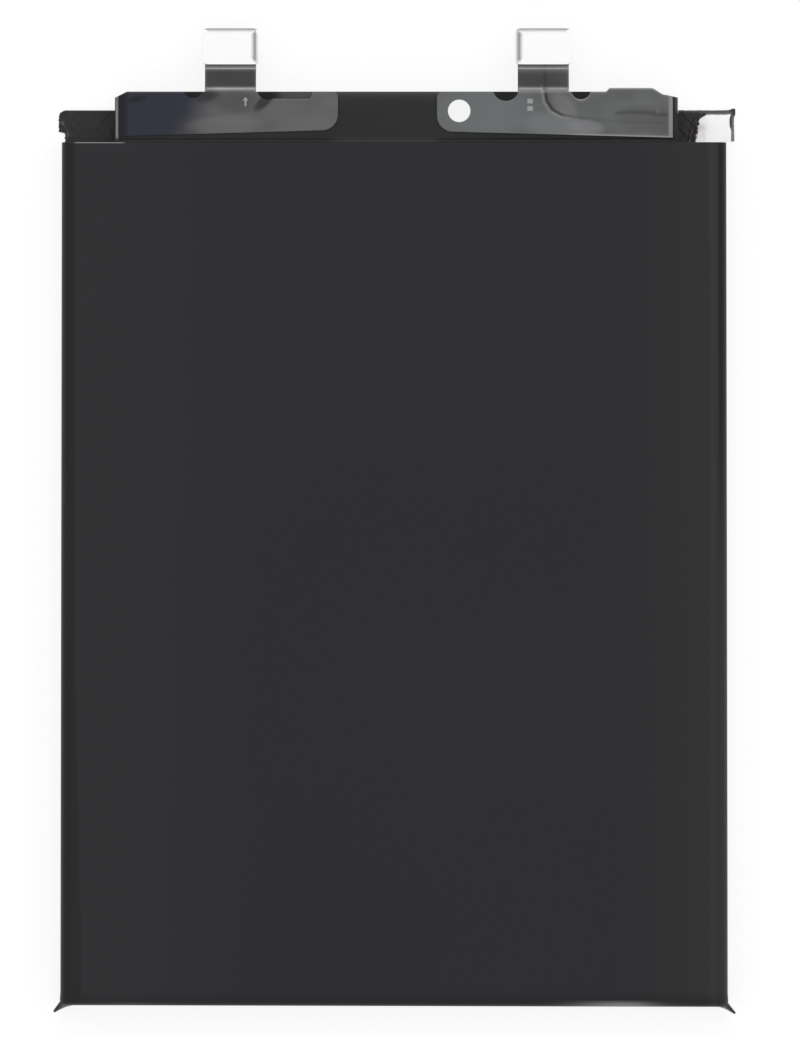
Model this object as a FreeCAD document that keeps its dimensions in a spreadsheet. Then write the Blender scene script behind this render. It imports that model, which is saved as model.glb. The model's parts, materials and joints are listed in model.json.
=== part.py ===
import FreeCAD, Part
import math
import os
import re
import Sketcher
from FreeCAD import Placement, Rotation, Vector

# A flat pouch cell for a phone, lying on its back, connector end towards +Y.
# Origin: the centre of the wrapped cell's back face. All lengths are millimetres, angles are degrees.

document = FreeCAD.newDocument("PhoneBattery")

# Driving dimensions
sizes = {
    # Wrapped cell
    "body_width": 65.0,
    "body_length": 84.4,
    "body_thick": 5.1,
    "film_thick": 0.08,
    "front_edge_radius": 1.3,
    "end_edge_radius": 0.8,
    "back_edge_radius": 0.4,
    # Ears pinched at the bottom corners
    "ear_out": 0.9,
    "ear_down": 0.95,
    "ear_tip": 0.3,
    "ear_side_root": 1.7,
    "ear_bottom_root": 3.6,
    "ear_side_radius": 3.0,
    "ear_bottom_radius": 8.5,
    "ear_height": 3.4,
    "ear_lift": 0.25,
    # Sealed edges of the pouch
    "seal_thick": 0.22,
    "side_seal_height": 3.4,
    "terrace_length": 3.13,
    "terrace_left_overhang": 0.22,
    "terrace_right_overhang": 0.6,
    "terrace_corner_radius": 1.0,
    "terrace_notch_length": 0.95,
    "terrace_clearance": 0.1,
    "tape_thick": 0.06,
    "edge_tape_gap": 0.05,
    # Tape over the right end of the terrace
    "patch_reach": 2.1,
    "patch_slant": 0.7,
    "rim_width": 0.38,
    "rim_stub": 0.3,
    "side_rim_width": 0.26,
    # Header
    "header_left_inset": 5.2,
    "header_right_inset": 4.75,
    "header_reach": 4.95,
    "header_step": 0.3,
    "header_gap": 0.05,
    "header_corner_run": 1.2,
    "header_corner_drop": 0.6,
    "bulge_length": 5.1,
    "bulge_out": 0.36,
    "bulge_ramp": 0.35,
    "right_end_drop": 0.55,
    "right_end_slope": 1.8,
    "right_end_ease": 0.18,
    # Flexible circuits
    "flex_thick": 0.18,
    "left_strip_inset": 0.35,
    "left_strip_end": -5.5,
    "right_strip_inset": 0.65,
    "right_strip_end": 4.2,
    "strip_outer_gap": 0.45,
    "strip_inner_gap": 1.07,
    "strip_end_radius": 1.5,
    "strip_top_radius": 0.4,
    "notch_radius": 1.05,
    "notch_depth": 0.7,
    "notch_spacing": 7.34,
    # Tails, their plates and their connectors
    "tail_width": 5.0,
    "left_tail_centre": -16.0,
    "right_tail_centre": 14.6,
    "tail_overlap": 0.6,
    "tail_lead": 0.25,
    "tail_radius": 0.5,
    "tail_slope": 45.0,
    "tail_drop": 1.5,
    "tail_landing": 0.5,
    "tail_margin": 0.2,
    "stiffener_width": 5.45,
    "stiffener_length": 3.55,
    "stiffener_thick": 0.2,
    "stiffener_corner": 0.2,
    "connector_length": 4.3,
    "connector_width": 1.9,
    "connector_height": 0.7,
    "connector_wall": 0.45,
    "connector_end_wall": 0.9,
    "connector_groove": 0.45,
    "connector_chamfer": 0.1,
    "contact_width": 0.2,
    "contact_pitch": 0.4,
    "contact_foot": 0.3,
    "contact_thick": 0.08,
    "contact_rise": 0.5,
    "power_contact_width": 1.1,
    # Tabs and their seals
    "tab_width": 4.4,
    "tab_thick": 0.1,
    "tab_radius": 0.7,
    "tab_wall_gap": 0.05,
    "negative_tab_inset": 4.8,
    "positive_tab_inset": 4.5,
    "sealant_thick": 0.06,
    "sealant_margin": 0.8,
    "sealant_proud": 0.35,
    "hump_margin": 0.35,
    "weld_plate_length": 5.0,
    "weld_plate_width": 2.3,
    "weld_plate_thick": 0.15,
    # Board, paper and foam
    "board_thick": 0.8,
    "board_left_inset": 1.3,
    "board_right_inset": 1.9,
    "board_inner_gap": 1.15,
    "board_outer_gap": 0.04,
    "board_corner_radius": 0.5,
    "paper_thick": 0.1,
    "paper_reach": 4.0,
    "foam_end_inset": 1.2,
    "foam_inner_gap": 0.4,
    "foam_outer_gap": 0.2,
    # Parts on the board's underside
    "part_height": 0.7,
    "switch_length": 3.2,
    "switch_width": 2.2,
    "switch_place": -14.9,
    "switch_pitch": 4.2,
    "protection_length": 2.0,
    "protection_width": 1.6,
    "protection_height": 0.5,
    "protection_place": -6.8,
    "gauge_length": 4.0,
    "gauge_width": 2.5,
    "gauge_height": 0.65,
    "gauge_place": 3.4,
    "sense_length": 2.0,
    "sense_width": 1.25,
    "sense_height": 0.5,
    "sense_place": -1.4,
    "package_chamfer": 0.08,
    "package_mark": 0.2,
    "package_mark_inset": 0.4,
    "package_mark_depth": 0.04,
    "chip_length": 1.0,
    "chip_width": 0.5,
    "capacitor_height": 0.5,
    "resistor_height": 0.35,
    "chip_cap_length": 0.25,
    "chip_cap_wrap": 0.02,
    "capacitor_place": 7.4,
    "resistor_place": 7.4,
    "chip_pitch": 1.5,
    "thermistor_place": 16.9,
    "chip_row_gap": 0.45,
    # Indicator dot
    "dot_diameter": 2.2,
    "dot_thick": 0.05,
    "dot_place": 6.37,
    "dot_setback": 1.89,
}

contacts_per_row = 5
chips_per_row = 6
switch_count = 2
match_tolerance = 0.01

sheet = document.addObject("Spreadsheet::Sheet", "Sizes")
for row, (alias, value) in enumerate(sizes.items(), start=1):
    sheet.set(f"A{row}", alias)
    sheet.set(f"B{row}", str(value))
    sheet.setAlias(f"B{row}", alias)
document.recompute()

# Places worked out from the driving dimensions
derived = {
    "half_width": "body_width / 2",
    "body_end": "body_length / 2",
    "cup_side": "half_width - film_thick - seal_thick",
    "cup_end": "body_end - film_thick",
    "cup_top": "body_thick - film_thick",
    "laminate": "seal_thick / 2",
    "terrace_top": "film_thick + seal_thick",
    "terrace_start": "body_end + terrace_clearance",
    "terrace_edge": "body_end + terrace_length",
    "terrace_left": "-half_width - terrace_left_overhang",
    "terrace_right": "half_width + terrace_right_overhang",
    "terrace_notch": "body_end + terrace_notch_length",
    "slot_low": "film_thick + laminate",
    "slot_high": "slot_low + tab_thick + 2 * sealant_thick",
    "hump_top": "slot_high + laminate",
    "tab_low": "slot_low + sealant_thick",
    "header_left": "-half_width + header_left_inset",
    "header_right": "half_width - header_right_inset",
    "header_start": "body_end + header_gap",
    "header_edge": "body_end + header_reach",
    "header_top": "body_thick - header_step",
    "negative_tab_centre": "header_left + negative_tab_inset",
    "positive_tab_centre": "header_right - positive_tab_inset",
    "bulge_left": "positive_tab_centre - bulge_length / 2",
    "bulge_right": "positive_tab_centre + bulge_length / 2",
    "bulge_edge": "header_edge + bulge_out",
    "tape_top": "header_top - flex_thick",
    "board_top": "tape_top - tape_thick",
    "board_low": "board_top - board_thick",
    "board_left": "header_left + board_left_inset",
    "board_right": "header_right - board_right_inset",
    "board_inner": "body_end + board_inner_gap",
    "board_outer": "header_edge - tape_thick - board_outer_gap",
    "board_middle": "(board_inner + board_outer) / 2",
    "near_row": "board_inner + chip_row_gap",
    "far_row": "board_outer - chip_row_gap",
    "weld_low": "board_low - weld_plate_thick",
    "paper_top": "board_low - part_height",
    "foam_top": "paper_top - paper_thick",
    "foam_left": "header_left + foam_end_inset",
    "foam_right": "header_right - foam_end_inset",
    "foam_inner": "body_end + foam_inner_gap",
    "foam_outer": "terrace_edge - foam_outer_gap",
    "tail_corner": "tail_radius * tan(tail_slope / 2)",
    "tail_first": "header_edge + tail_lead + tail_corner",
    "tail_second": "tail_first + tail_drop / tan(tail_slope)",
    "plate_start": "tail_second + tail_corner + tail_landing",
    "plate_end": "plate_start + stiffener_length",
    "plate_middle": "plate_start + stiffener_length / 2",
    "tail_top": "header_top - tail_drop",
    "tail_under": "tail_top - flex_thick",
}


def qualified(text, names=derived):
    """The formula with each size and place written with the name of its owner."""

    def owned(match):
        word = match.group(0)
        if word in sizes:
            return "Sizes." + word
        return "Places." + word if word in names else word

    return re.sub(r"[a-z][a-z_]*", owned, text)


places = document.addObject("App::VarSet", "Places")
for name in derived:
    places.addProperty("App::PropertyFloat", name, "Derived")
for name, text in derived.items():
    places.setExpression(name, qualified(text, names=()))
document.recompute()


def number(text):
    """The present value of a formula."""
    return float(sheet.evalExpression(qualified(text)))


def origin_plane(body, role):
    return next(feature for feature in body.Origin.OriginFeatures if feature.Role == role)


def new_body(label):
    body = document.addObject("PartDesign::Body", label)
    body.Label = label
    return body


def new_sketch(body, name, role, lift):
    """A sketch on one of the body's own origin planes, moved along the plane's normal by a formula."""
    sketch = body.newObject("Sketcher::SketchObject", name)
    sketch.AttachmentSupport = [(origin_plane(body, role), "")]
    sketch.MapMode = "FlatFace"
    sketch.AttachmentOffset = Placement(Vector(0, 0, number(lift)), Rotation())
    sketch.setExpression("AttachmentOffset.Base.z", qualified(lift))
    return sketch


def bind_point(sketch, edge, end, name, point):
    """Holds one end of a sketch edge at the two formulas in point, measured from the sketch's origin."""
    for kind, axis, text in (("DistanceX", "across", point[0]), ("DistanceY", "along", point[1])):
        index = sketch.addConstraint(Sketcher.Constraint(kind, -1, 1, edge, end, number(text)))
        sketch.renameConstraint(index, f"{name}_{axis}")
        sketch.setExpression(f"Constraints.{name}_{axis}", qualified(text))


def arc_between(start, end, radius, turn):
    """The shorter arc from start to end, turning left for turn 1 and right for turn -1."""
    chord = end - start
    rise = math.sqrt(radius**2 - (chord.Length / 2) ** 2)
    normal = Vector(-chord.y, chord.x, 0).normalize()
    centre = (start + end) / 2 + normal * rise * turn
    circle = Part.Circle(centre, Vector(0, 0, 1), radius)
    first, last = (start, end) if turn > 0 else (end, start)
    angles = [math.atan2(point.y - centre.y, point.x - centre.x) for point in (first, last)]
    if angles[1] < angles[0]:
        angles[1] += 2 * math.pi
    return Part.ArcOfCircle(circle, *angles)


def draw(sketch, points, arcs, closed=True):
    """Lines through the points, held by formulas; arcs gives some of them a radius formula and a turn."""
    ends = [Vector(number(x), number(y), 0) for x, y in points]
    count = len(points) if closed else len(points) - 1
    for index in range(count):
        start, end = ends[index], ends[(index + 1) % len(ends)]
        if index in arcs:
            radius, turn = arcs[index]
            sketch.addGeometry(arc_between(start, end, number(radius), turn), False)
        else:
            sketch.addGeometry(Part.LineSegment(start, end), False)

    def start_of(index):
        return 2 if index in arcs and arcs[index][1] < 0 else 1

    for index in range(count):
        bind_point(sketch, index, start_of(index), f"point{index}", points[index])
        far_end = 3 - start_of(index)
        following = (index + 1) % len(points)
        if following < count:
            near_end = start_of(following)
            sketch.addConstraint(Sketcher.Constraint("Coincident", index, far_end, following, near_end))
        else:
            bind_point(sketch, index, far_end, f"point{following}", points[following])
        if index in arcs:
            radius = sketch.addConstraint(Sketcher.Constraint("Radius", index, number(arcs[index][0])))
            sketch.renameConstraint(radius, f"radius{index}")
            sketch.setExpression(f"Constraints.radius{index}", qualified(arcs[index][0]))


def draw_circle(sketch, centre, radius):
    """A circle held by the formulas for its centre and radius."""
    middle = Vector(number(centre[0]), number(centre[1]), 0)
    sketch.addGeometry(Part.Circle(middle, Vector(0, 0, 1), number(radius)), False)
    bind_point(sketch, 0, 3, "centre", centre)
    index = sketch.addConstraint(Sketcher.Constraint("Radius", 0, number(radius)))
    sketch.renameConstraint(index, "radius")
    sketch.setExpression("Constraints.radius", qualified(radius))


def rectangle(left, right, low, high):
    return [(left, low), (right, low), (right, high), (left, high)]


def pad(body, name, points, low, thick, arcs=None):
    """Material added over the outline, from low up through thick."""
    sketch = new_sketch(body, name + "Outline", "XY_Plane", low)
    draw(sketch, points, arcs or {})
    feature = body.newObject("PartDesign::Pad", name)
    feature.Profile = sketch
    feature.Refine = True
    feature.Length = number(thick)
    feature.setExpression("Length", qualified(thick))
    return feature


def pocket(body, name, points, low, thick, arcs=None, circle=None):
    """Material removed over the outline or circle, from low up through thick, with proof that it did cut."""
    document.recompute()
    before = body.Shape.Volume
    sketch = new_sketch(body, name + "Outline", "XY_Plane", low)
    if circle:
        draw_circle(sketch, *circle)
    else:
        draw(sketch, points, arcs or {})
    feature = body.newObject("PartDesign::Pocket", name)
    feature.Profile = sketch
    feature.Reversed = True
    feature.Length = number(thick)
    feature.setExpression("Length", qualified(thick))
    document.recompute()
    if not body.Shape.Volume < before:
        raise RuntimeError(f"{body.Label}: {name} cut nothing")
    return feature


def found(elements, prefix, near):
    """Names of the edges or faces whose centre lies at every stated coordinate."""
    names = []
    for index, element in enumerate(elements, start=1):
        centre = element.CenterOfMass
        if all(abs(getattr(centre, axis) - number(text)) < match_tolerance for axis, text in near.items()):
            names.append(f"{prefix}{index}")
    return names


def dress(body, kind, name, picks, sizing):
    """A fillet or chamfer on the edges whose centres match the picks, sized by a formula."""
    document.recompute()
    base = body.Tip
    names = sorted({edge for near in picks for edge in found(base.Shape.Edges, "Edge", near)})
    if not names:
        raise RuntimeError(f"{body.Label}: {name} found no edge")
    feature = body.newObject("PartDesign::" + kind, name)
    feature.Base = (base, names)
    quantity = "Radius" if kind == "Fillet" else "Size"
    feature.setExpression(quantity, qualified(sizing))
    return feature


def shell(body, name, picks, wall):
    """Hollows the solid to an even wall, kept inside it, open at the picked faces."""
    document.recompute()
    base = body.Tip
    names = sorted({face for near in picks for face in found(base.Shape.Faces, "Face", near)})
    if not names:
        raise RuntimeError(f"{body.Label}: {name} found no face")
    feature = body.newObject("PartDesign::Thickness", name)
    feature.Base = (base, names)
    feature.Mode = 0
    feature.Join = 0
    feature.Reversed = True
    feature.setExpression("Value", qualified(wall))
    return feature


def ribbon(body, name, path, radius, turns, centre, width, thick):
    """A flat strip swept along a path of three runs and two bends in the YZ plane."""
    spine = new_sketch(body, name + "Path", "YZ_Plane", centre)
    draw(spine, path, {1: (radius, turns[0]), 3: (radius, turns[1])}, closed=False)
    start, level = path[0]
    section = new_sketch(body, name + "Section", "XZ_Plane", f"-({start})")
    sides = [f"{centre} - {width} / 2", f"{centre} + {width} / 2"]
    faces = [f"{level} - {thick} / 2", f"{level} + {thick} / 2"]
    draw(section, rectangle(*sides, *faces), {})
    document.recompute()
    feature = body.newObject("PartDesign::AdditivePipe", name)
    feature.Profile = section
    feature.Spine = (spine, [])
    return feature


def box(label, left, right, front, back, low, high):
    """A plain block between six formulas."""
    block = document.addObject("Part::Box", label)
    block.Label = label
    spans = (("Length", "x", left, right), ("Width", "y", front, back), ("Height", "z", low, high))
    for side, axis, start, end in spans:
        block.setExpression(side, qualified(f"({end}) - ({start})"))
        block.setExpression(f"Placement.Base.{axis}", qualified(start))
    return block


def group(label, members):
    """Separate solids of one kind, kept as one node."""
    compound = document.addObject("Part::Compound", label)
    compound.Label = label
    compound.Links = members
    return compound


# A block the shape of the cell, square at the connector end; its roundings are smaller by the inset
def rounded_block(body, side, near_end, far_end, low, high, inset):
    pad(body, "Block", rectangle(f"-({side})", side, near_end, far_end), low, f"{high} - ({low})")
    long_edges = [{"x": side, "z": high}, {"x": f"-({side})", "z": high}]
    dress(body, "Fillet", "LongEdges", long_edges, f"front_edge_radius - {inset}")
    dress(body, "Fillet", "EndEdges", [{"y": near_end, "z": high}], f"end_edge_radius - {inset}")
    dress(body, "Fillet", "BackEdges", [{"y": near_end, "z": low}], f"back_edge_radius - {inset}")


# The sealed pouch: drawn cup, folded side seals and flat terrace
def make_pouch():
    body = new_body("pouch_cell")
    rounded_block(body, "cup_side", "-cup_end", "cup_end", "film_thick", "cup_top", "film_thick")
    root = "cup_side - back_edge_radius"
    rim = "half_width - film_thick"
    seal_ends = ["-body_end + end_edge_radius", "cup_end"]
    pad(body, "LeftSeal", rectangle(f"-({rim})", f"-({root})", *seal_ends), "film_thick", "side_seal_height")
    pad(body, "RightSeal", rectangle(root, rim, *seal_ends), "film_thick", "side_seal_height")
    folds = [{"x": rim, "z": "film_thick"}, {"x": f"-({rim})", "z": "film_thick"}]
    dress(body, "Fillet", "SealFolds", folds, "back_edge_radius - film_thick")
    terrace = [
        (f"-({root})", "cup_end - laminate"),
        (root, "cup_end - laminate"),
        (root, "terrace_start"),
        ("terrace_right", "terrace_start"),
        ("terrace_right", "terrace_edge"),
        ("terrace_left", "terrace_edge"),
        ("terrace_left", "terrace_notch"),
        ("-cup_side", "terrace_notch"),
        ("-cup_side", "terrace_start"),
        (f"-({root})", "terrace_start"),
    ]
    pad(body, "Terrace", terrace, "film_thick", "seal_thick")
    corner = [{"x": "terrace_left", "y": "terrace_edge"}]
    dress(body, "Fillet", "TerraceCorner", corner, "terrace_corner_radius")
    for pole in ("negative", "positive"):
        half = "tab_width / 2 + sealant_margin"
        left, right = f"{pole}_tab_centre - ({half})", f"{pole}_tab_centre + ({half})"
        hump_sides = [f"{left} - hump_margin", f"{right} + hump_margin"]
        hump = rectangle(*hump_sides, "cup_end - laminate", "terrace_edge")
        pad(body, pole.title() + "Hump", hump, "terrace_top - laminate", "hump_top - terrace_top + laminate")
        slot = rectangle(left, right, "cup_end", "terrace_edge + laminate")
        pocket(body, pole.title() + "Slot", slot, "slot_low", "slot_high - slot_low")
    return body


# One corner ear of the film: two hollow curves that meet in a thin tip
def add_ear(body, side, sign):
    def across(text):
        return f"{sign}({text})"

    outline = [
        (across("half_width"), "-body_end + ear_side_root"),
        (across("half_width - ear_bottom_root"), "-body_end + ear_side_root"),
        (across("half_width - ear_bottom_root"), "-body_end"),
        (across("half_width + ear_out - ear_tip"), "-body_end - ear_down"),
        (across("half_width + ear_out"), "-body_end - ear_down + ear_tip"),
    ]
    turn = 1 if sign else -1
    curves = {2: ("ear_bottom_radius", turn), 4: ("ear_side_radius", turn)}
    pad(body, side + "Ear", outline, "ear_lift", "ear_height", arcs=curves)


# The black film: a closed sleeve with an ear at each bottom corner, open only at the connector end
def make_film():
    body = new_body("wrap_film")
    rounded_block(body, "half_width", "-body_end", "body_end", "0", "body_thick", "0")
    add_ear(body, "Left", "-")
    add_ear(body, "Right", "")
    hollow = new_body("film_hollow")
    rim = "half_width - film_thick"
    rounded_block(hollow, rim, "-cup_end", "body_end + film_thick", "film_thick", "cup_top", "film_thick")
    document.recompute()
    opened = body.newObject("PartDesign::Boolean", "Opened")
    opened.Type = "Cut"
    opened.Group = [hollow]
    return body


# Tape folded round the left end of the terrace
def make_left_tape():
    body = new_body("left_terrace_tape")
    outline = [
        ("-cup_side - tape_thick", "terrace_start"),
        ("header_left - edge_tape_gap", "terrace_start"),
        ("header_left - edge_tape_gap", "terrace_edge + tape_thick"),
        ("terrace_left - tape_thick", "terrace_edge + tape_thick"),
        ("terrace_left - tape_thick", "terrace_notch - tape_thick"),
        ("-cup_side - tape_thick", "terrace_notch - tape_thick"),
    ]
    pad(body, "Fold", outline, "film_thick - tape_thick", "seal_thick + 2 * tape_thick")
    corner = [{"x": "terrace_left - tape_thick", "y": "terrace_edge + tape_thick"}]
    dress(body, "Fillet", "Corner", corner, "terrace_corner_radius + tape_thick")
    shell(body, "Wall", [{"y": "terrace_start"}, {"x": "header_left - edge_tape_gap"}], "tape_thick")
    return body


# Tape over the right end of the terrace: a patch, then a narrow rim round the bare foil
def make_right_tape():
    body = new_body("right_terrace_tape")
    patch_right = "header_right + patch_reach"
    rim_low = "terrace_edge - rim_width"
    rim_inner = "terrace_right - side_rim_width"
    rim_outer = "terrace_right + tape_thick"
    outline = [
        ("header_right + edge_tape_gap", "terrace_start"),
        (patch_right, "terrace_start"),
        (f"{patch_right} + patch_slant", rim_low),
        (rim_inner, rim_low),
        (rim_inner, "terrace_start"),
        (rim_outer, "terrace_start"),
        (rim_outer, "terrace_edge + tape_thick"),
        ("header_right + edge_tape_gap", "terrace_edge + tape_thick"),
    ]
    pad(body, "Fold", outline, "film_thick - tape_thick", "seal_thick + 2 * tape_thick")
    openings = [
        {"x": "header_right + edge_tape_gap"},
        {"y": "terrace_start"},
        {"x": f"{patch_right} + patch_slant / 2"},
        {"y": rim_low},
        {"x": rim_inner},
    ]
    shell(body, "Wall", openings, "tape_thick")
    stub = [
        (rim_outer, rim_low),
        (f"{rim_outer} + rim_stub", f"{rim_low} + rim_width / 2"),
        (f"{rim_outer} + rim_stub", "terrace_edge + tape_thick + rim_stub / 2"),
        (rim_outer, "terrace_edge + tape_thick"),
    ]
    pad(body, "Stub", stub, "film_thick - tape_thick", "seal_thick + 2 * tape_thick")
    return body


# The header's outer edge, from its right end to the left, with the bulge over the positive tab
def header_outer_edge(right):
    return [
        (right, "header_edge - right_end_drop"),
        ("header_right - right_end_slope", "header_edge - right_end_ease"),
        ("bulge_right", "bulge_edge"),
        ("bulge_left + bulge_ramp", "bulge_edge"),
        ("bulge_left - bulge_ramp", "header_edge"),
    ]


# The bevelled corner at the header's left end, cut where the outline starts at left
def header_left_corner(left, drop):
    return [("header_left + header_corner_run", "header_edge"), (left, f"header_edge - {drop}")]


# Tape folded round the header, open towards the cell, its ends turned in above the terrace
def make_header_tape():
    body = new_body("header_tape")
    outline = [("header_left", "header_start"), ("header_right", "header_start")]
    outline += header_outer_edge("header_right")
    outline += header_left_corner("header_left", "header_corner_drop")
    pad(body, "Fold", outline, "film_thick - tape_thick", "tape_top - film_thick + tape_thick")
    openings = [{"y": "header_start"}, {"x": "header_left"}, {"x": "header_right"}]
    shell(body, "Wall", openings, "tape_thick")
    flaps = (
        ("LeftFlap", "header_left", "header_left + tape_thick", "header_corner_drop"),
        ("RightFlap", "header_right - tape_thick", "header_right", "right_end_drop"),
    )
    for name, outer, inner, drop in flaps:
        flap = rectangle(outer, inner, "header_start", f"header_edge - {drop}")
        pad(body, name, flap, "terrace_top", "tape_top - terrace_top")
    return body


# A flexible circuit: a strip on top of the header, two relief notches and a tail bent down to its plate
def make_flex(side, outline, rounded):
    body = new_body(f"{side}_flex_circuit")
    centre = f"{side}_tail_centre"
    pad(body, "Strip", outline, "tape_top", "flex_thick")
    for name, corner, radius in rounded:
        dress(body, "Fillet", name, [corner], radius)
    middle = "header_top - flex_thick / 2"
    half_chord = "sqrt(notch_radius ^ 2 - (notch_radius - notch_depth) ^ 2)"
    for name, sign in (("LeftNotch", "-"), ("RightNotch", "+")):
        place = f"{centre} {sign} notch_spacing / 2"
        bite = [
            (f"{place} - {half_chord}", "header_edge"),
            (f"{place} + {half_chord}", "header_edge"),
        ]
        top = "header_edge + notch_depth"
        bite += [(f"{place} + {half_chord}", top), (f"{place} - {half_chord}", top)]
        pocket(body, name, bite, "tape_top", "flex_thick", arcs={0: ("notch_radius", 1)})
    reach = "tail_corner * cos(tail_slope)"
    fall = "tail_corner * sin(tail_slope)"
    path = [
        ("header_edge - tail_overlap", middle),
        ("tail_first - tail_corner", middle),
        (f"tail_first + {reach}", f"{middle} - {fall}"),
        (f"tail_second - {reach}", f"{middle} - tail_drop + {fall}"),
        ("tail_second + tail_corner", f"{middle} - tail_drop"),
        ("plate_end - tail_margin", f"{middle} - tail_drop"),
    ]
    ribbon(body, "Tail", path, "tail_radius", (-1, 1), centre, "tail_width", "flex_thick")
    return body


def make_left_flex():
    left, right = "header_left + left_strip_inset", "left_strip_end"
    outline = [
        (left, "body_end + strip_outer_gap"),
        (right, "body_end + strip_inner_gap"),
        (right, "header_edge"),
    ]
    outline += header_left_corner(left, "header_corner_drop * (1 - left_strip_inset / header_corner_run)")
    rounded = [
        ("InnerEnd", {"x": right, "y": "body_end + strip_inner_gap"}, "strip_end_radius"),
        ("InnerTop", {"x": right, "y": "header_edge"}, "strip_top_radius"),
    ]
    return make_flex("left", outline, rounded)


def make_right_flex():
    left, right = "right_strip_end", "header_right - right_strip_inset"
    outline = [(left, "body_end + strip_inner_gap"), (right, "body_end + strip_outer_gap")]
    outline += header_outer_edge(right)
    outline += [(left, "header_edge")]
    rounded = [
        ("InnerEnd", {"x": left, "y": "body_end + strip_inner_gap"}, "strip_end_radius"),
        ("InnerTop", {"x": left, "y": "header_edge"}, "strip_top_radius"),
    ]
    return make_flex("right", outline, rounded)


# A bright plate on top of the tail's end
def make_stiffener(side):
    body = new_body(f"{side}_stiffener")
    centre = f"{side}_tail_centre"
    edges = [f"{centre} - stiffener_width / 2", f"{centre} + stiffener_width / 2"]
    pad(body, "Plate", rectangle(*edges, "plate_start", "plate_end"), "tail_top", "stiffener_thick")
    corners = [{"x": x, "y": y} for x in edges for y in ("plate_start", "plate_end")]
    dress(body, "Fillet", "Corners", corners, "stiffener_corner")
    return body


# The connector's plastic frame, mouth down, with a long groove between its walls
def make_connector(side):
    body = new_body(f"{side}_connector")
    centre = f"{side}_tail_centre"
    ends = [f"{centre} - connector_length / 2", f"{centre} + connector_length / 2"]
    faces = ["plate_middle - connector_width / 2", "plate_middle + connector_width / 2"]
    low = "tail_under - connector_height"
    pad(body, "Frame", rectangle(*ends, *faces), low, "connector_height")
    mouth = [{"x": x, "z": low} for x in ends] + [{"y": y, "z": low} for y in faces]
    dress(body, "Chamfer", "Mouth", mouth, "connector_chamfer")
    inner_ends = [f"{ends[0]} + connector_end_wall", f"{ends[1]} - connector_end_wall"]
    inner_faces = [f"{faces[0]} + connector_wall", f"{faces[1]} - connector_wall"]
    pocket(body, "Groove", rectangle(*inner_ends, *inner_faces), low, "connector_groove")
    return body


# Bent contacts: a foot on the flexible circuit and a blade up the connector's wall
def make_contacts(side):
    centre = f"{side}_tail_centre"
    foot_low = "tail_under - contact_thick"
    blade_low = "tail_under - contact_rise"
    members = []

    def bent(name, foot, blade):
        pieces = [
            box(f"{side}_{name}_foot", *foot, foot_low, "tail_under"),
            box(f"{side}_{name}_blade", *blade, blade_low, foot_low),
        ]
        contact = document.addObject("Part::MultiFuse", f"{side}_{name}")
        contact.Shapes = pieces
        members.append(contact)

    for row, sign in (("near", "-"), ("far", "+")):
        face = f"plate_middle {sign} connector_width / 2"
        tip = f"{face} {sign} contact_foot"
        skin = f"{face} {sign} contact_thick"
        foot = [tip, face] if sign == "-" else [face, tip]
        blade = [skin, face] if sign == "-" else [face, skin]
        for index in range(contacts_per_row):
            middle = f"{centre} + {index - (contacts_per_row - 1) / 2} * contact_pitch"
            sides = [f"{middle} - contact_width / 2", f"{middle} + contact_width / 2"]
            bent(f"{row}_contact_{index + 1}", sides + foot, sides + blade)
    for end, sign in (("first", "-"), ("last", "+")):
        face = f"{centre} {sign} connector_length / 2"
        tip = f"{face} {sign} contact_foot"
        skin = f"{face} {sign} contact_thick"
        foot = [tip, face] if sign == "-" else [face, tip]
        blade = [skin, face] if sign == "-" else [face, skin]
        sides = ["plate_middle - power_contact_width / 2", "plate_middle + power_contact_width / 2"]
        bent(f"{end}_power_contact", foot + sides, blade + sides)
    return group(f"{side}_connector_contacts", members)


# A metal strip out of the terrace, bent up and back under the board
def make_tab(pole, bulge):
    body = new_body(f"{pole}_tab")
    level = "tab_low + tab_thick / 2"
    wall = f"header_edge + {bulge} - tape_thick - tab_wall_gap - tab_thick / 2"
    top = "weld_low - tab_thick / 2"
    path = [
        ("cup_end", level),
        (f"{wall} - tab_radius", level),
        (wall, f"{level} + tab_radius"),
        (wall, f"{top} - tab_radius"),
        (f"{wall} - tab_radius", top),
        ("board_inner + tab_wall_gap", top),
    ]
    ribbon(body, "Strip", path, "tab_radius", (1, 1), f"{pole}_tab_centre", "tab_width", "tab_thick")
    return body


# Polymer sleeve that seals a tab between the two layers of the terrace
def make_sealant(pole):
    body = new_body(f"{pole}_tab_sealant")
    centre = f"{pole}_tab_centre"
    half = "tab_width / 2"
    outer = [f"{centre} - {half} - sealant_margin", f"{centre} + {half} + sealant_margin"]
    inner = [f"{centre} - {half}", f"{centre} + {half}"]
    front = ["cup_end", "terrace_edge + sealant_proud"]
    pad(body, "Sleeve", rectangle(*outer, *front), "slot_low", "slot_high - slot_low")
    beyond = ["cup_end - sealant_proud", "terrace_edge + 2 * sealant_proud"]
    pocket(body, "Passage", rectangle(*inner, *beyond), "tab_low", "tab_thick")
    return body


def make_weld_plate(pole):
    body = new_body(f"{pole}_weld_plate")
    centre = f"{pole}_tab_centre"
    sides = [f"{centre} - weld_plate_length / 2", f"{centre} + weld_plate_length / 2"]
    depth = ["board_inner + tab_wall_gap", "board_inner + tab_wall_gap + weld_plate_width"]
    pad(body, "Plate", rectangle(*sides, *depth), "weld_low", "weld_plate_thick")
    corners = [{"x": x, "y": y} for x in sides for y in depth]
    dress(body, "Fillet", "Corners", corners, "stiffener_corner")
    return body


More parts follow.
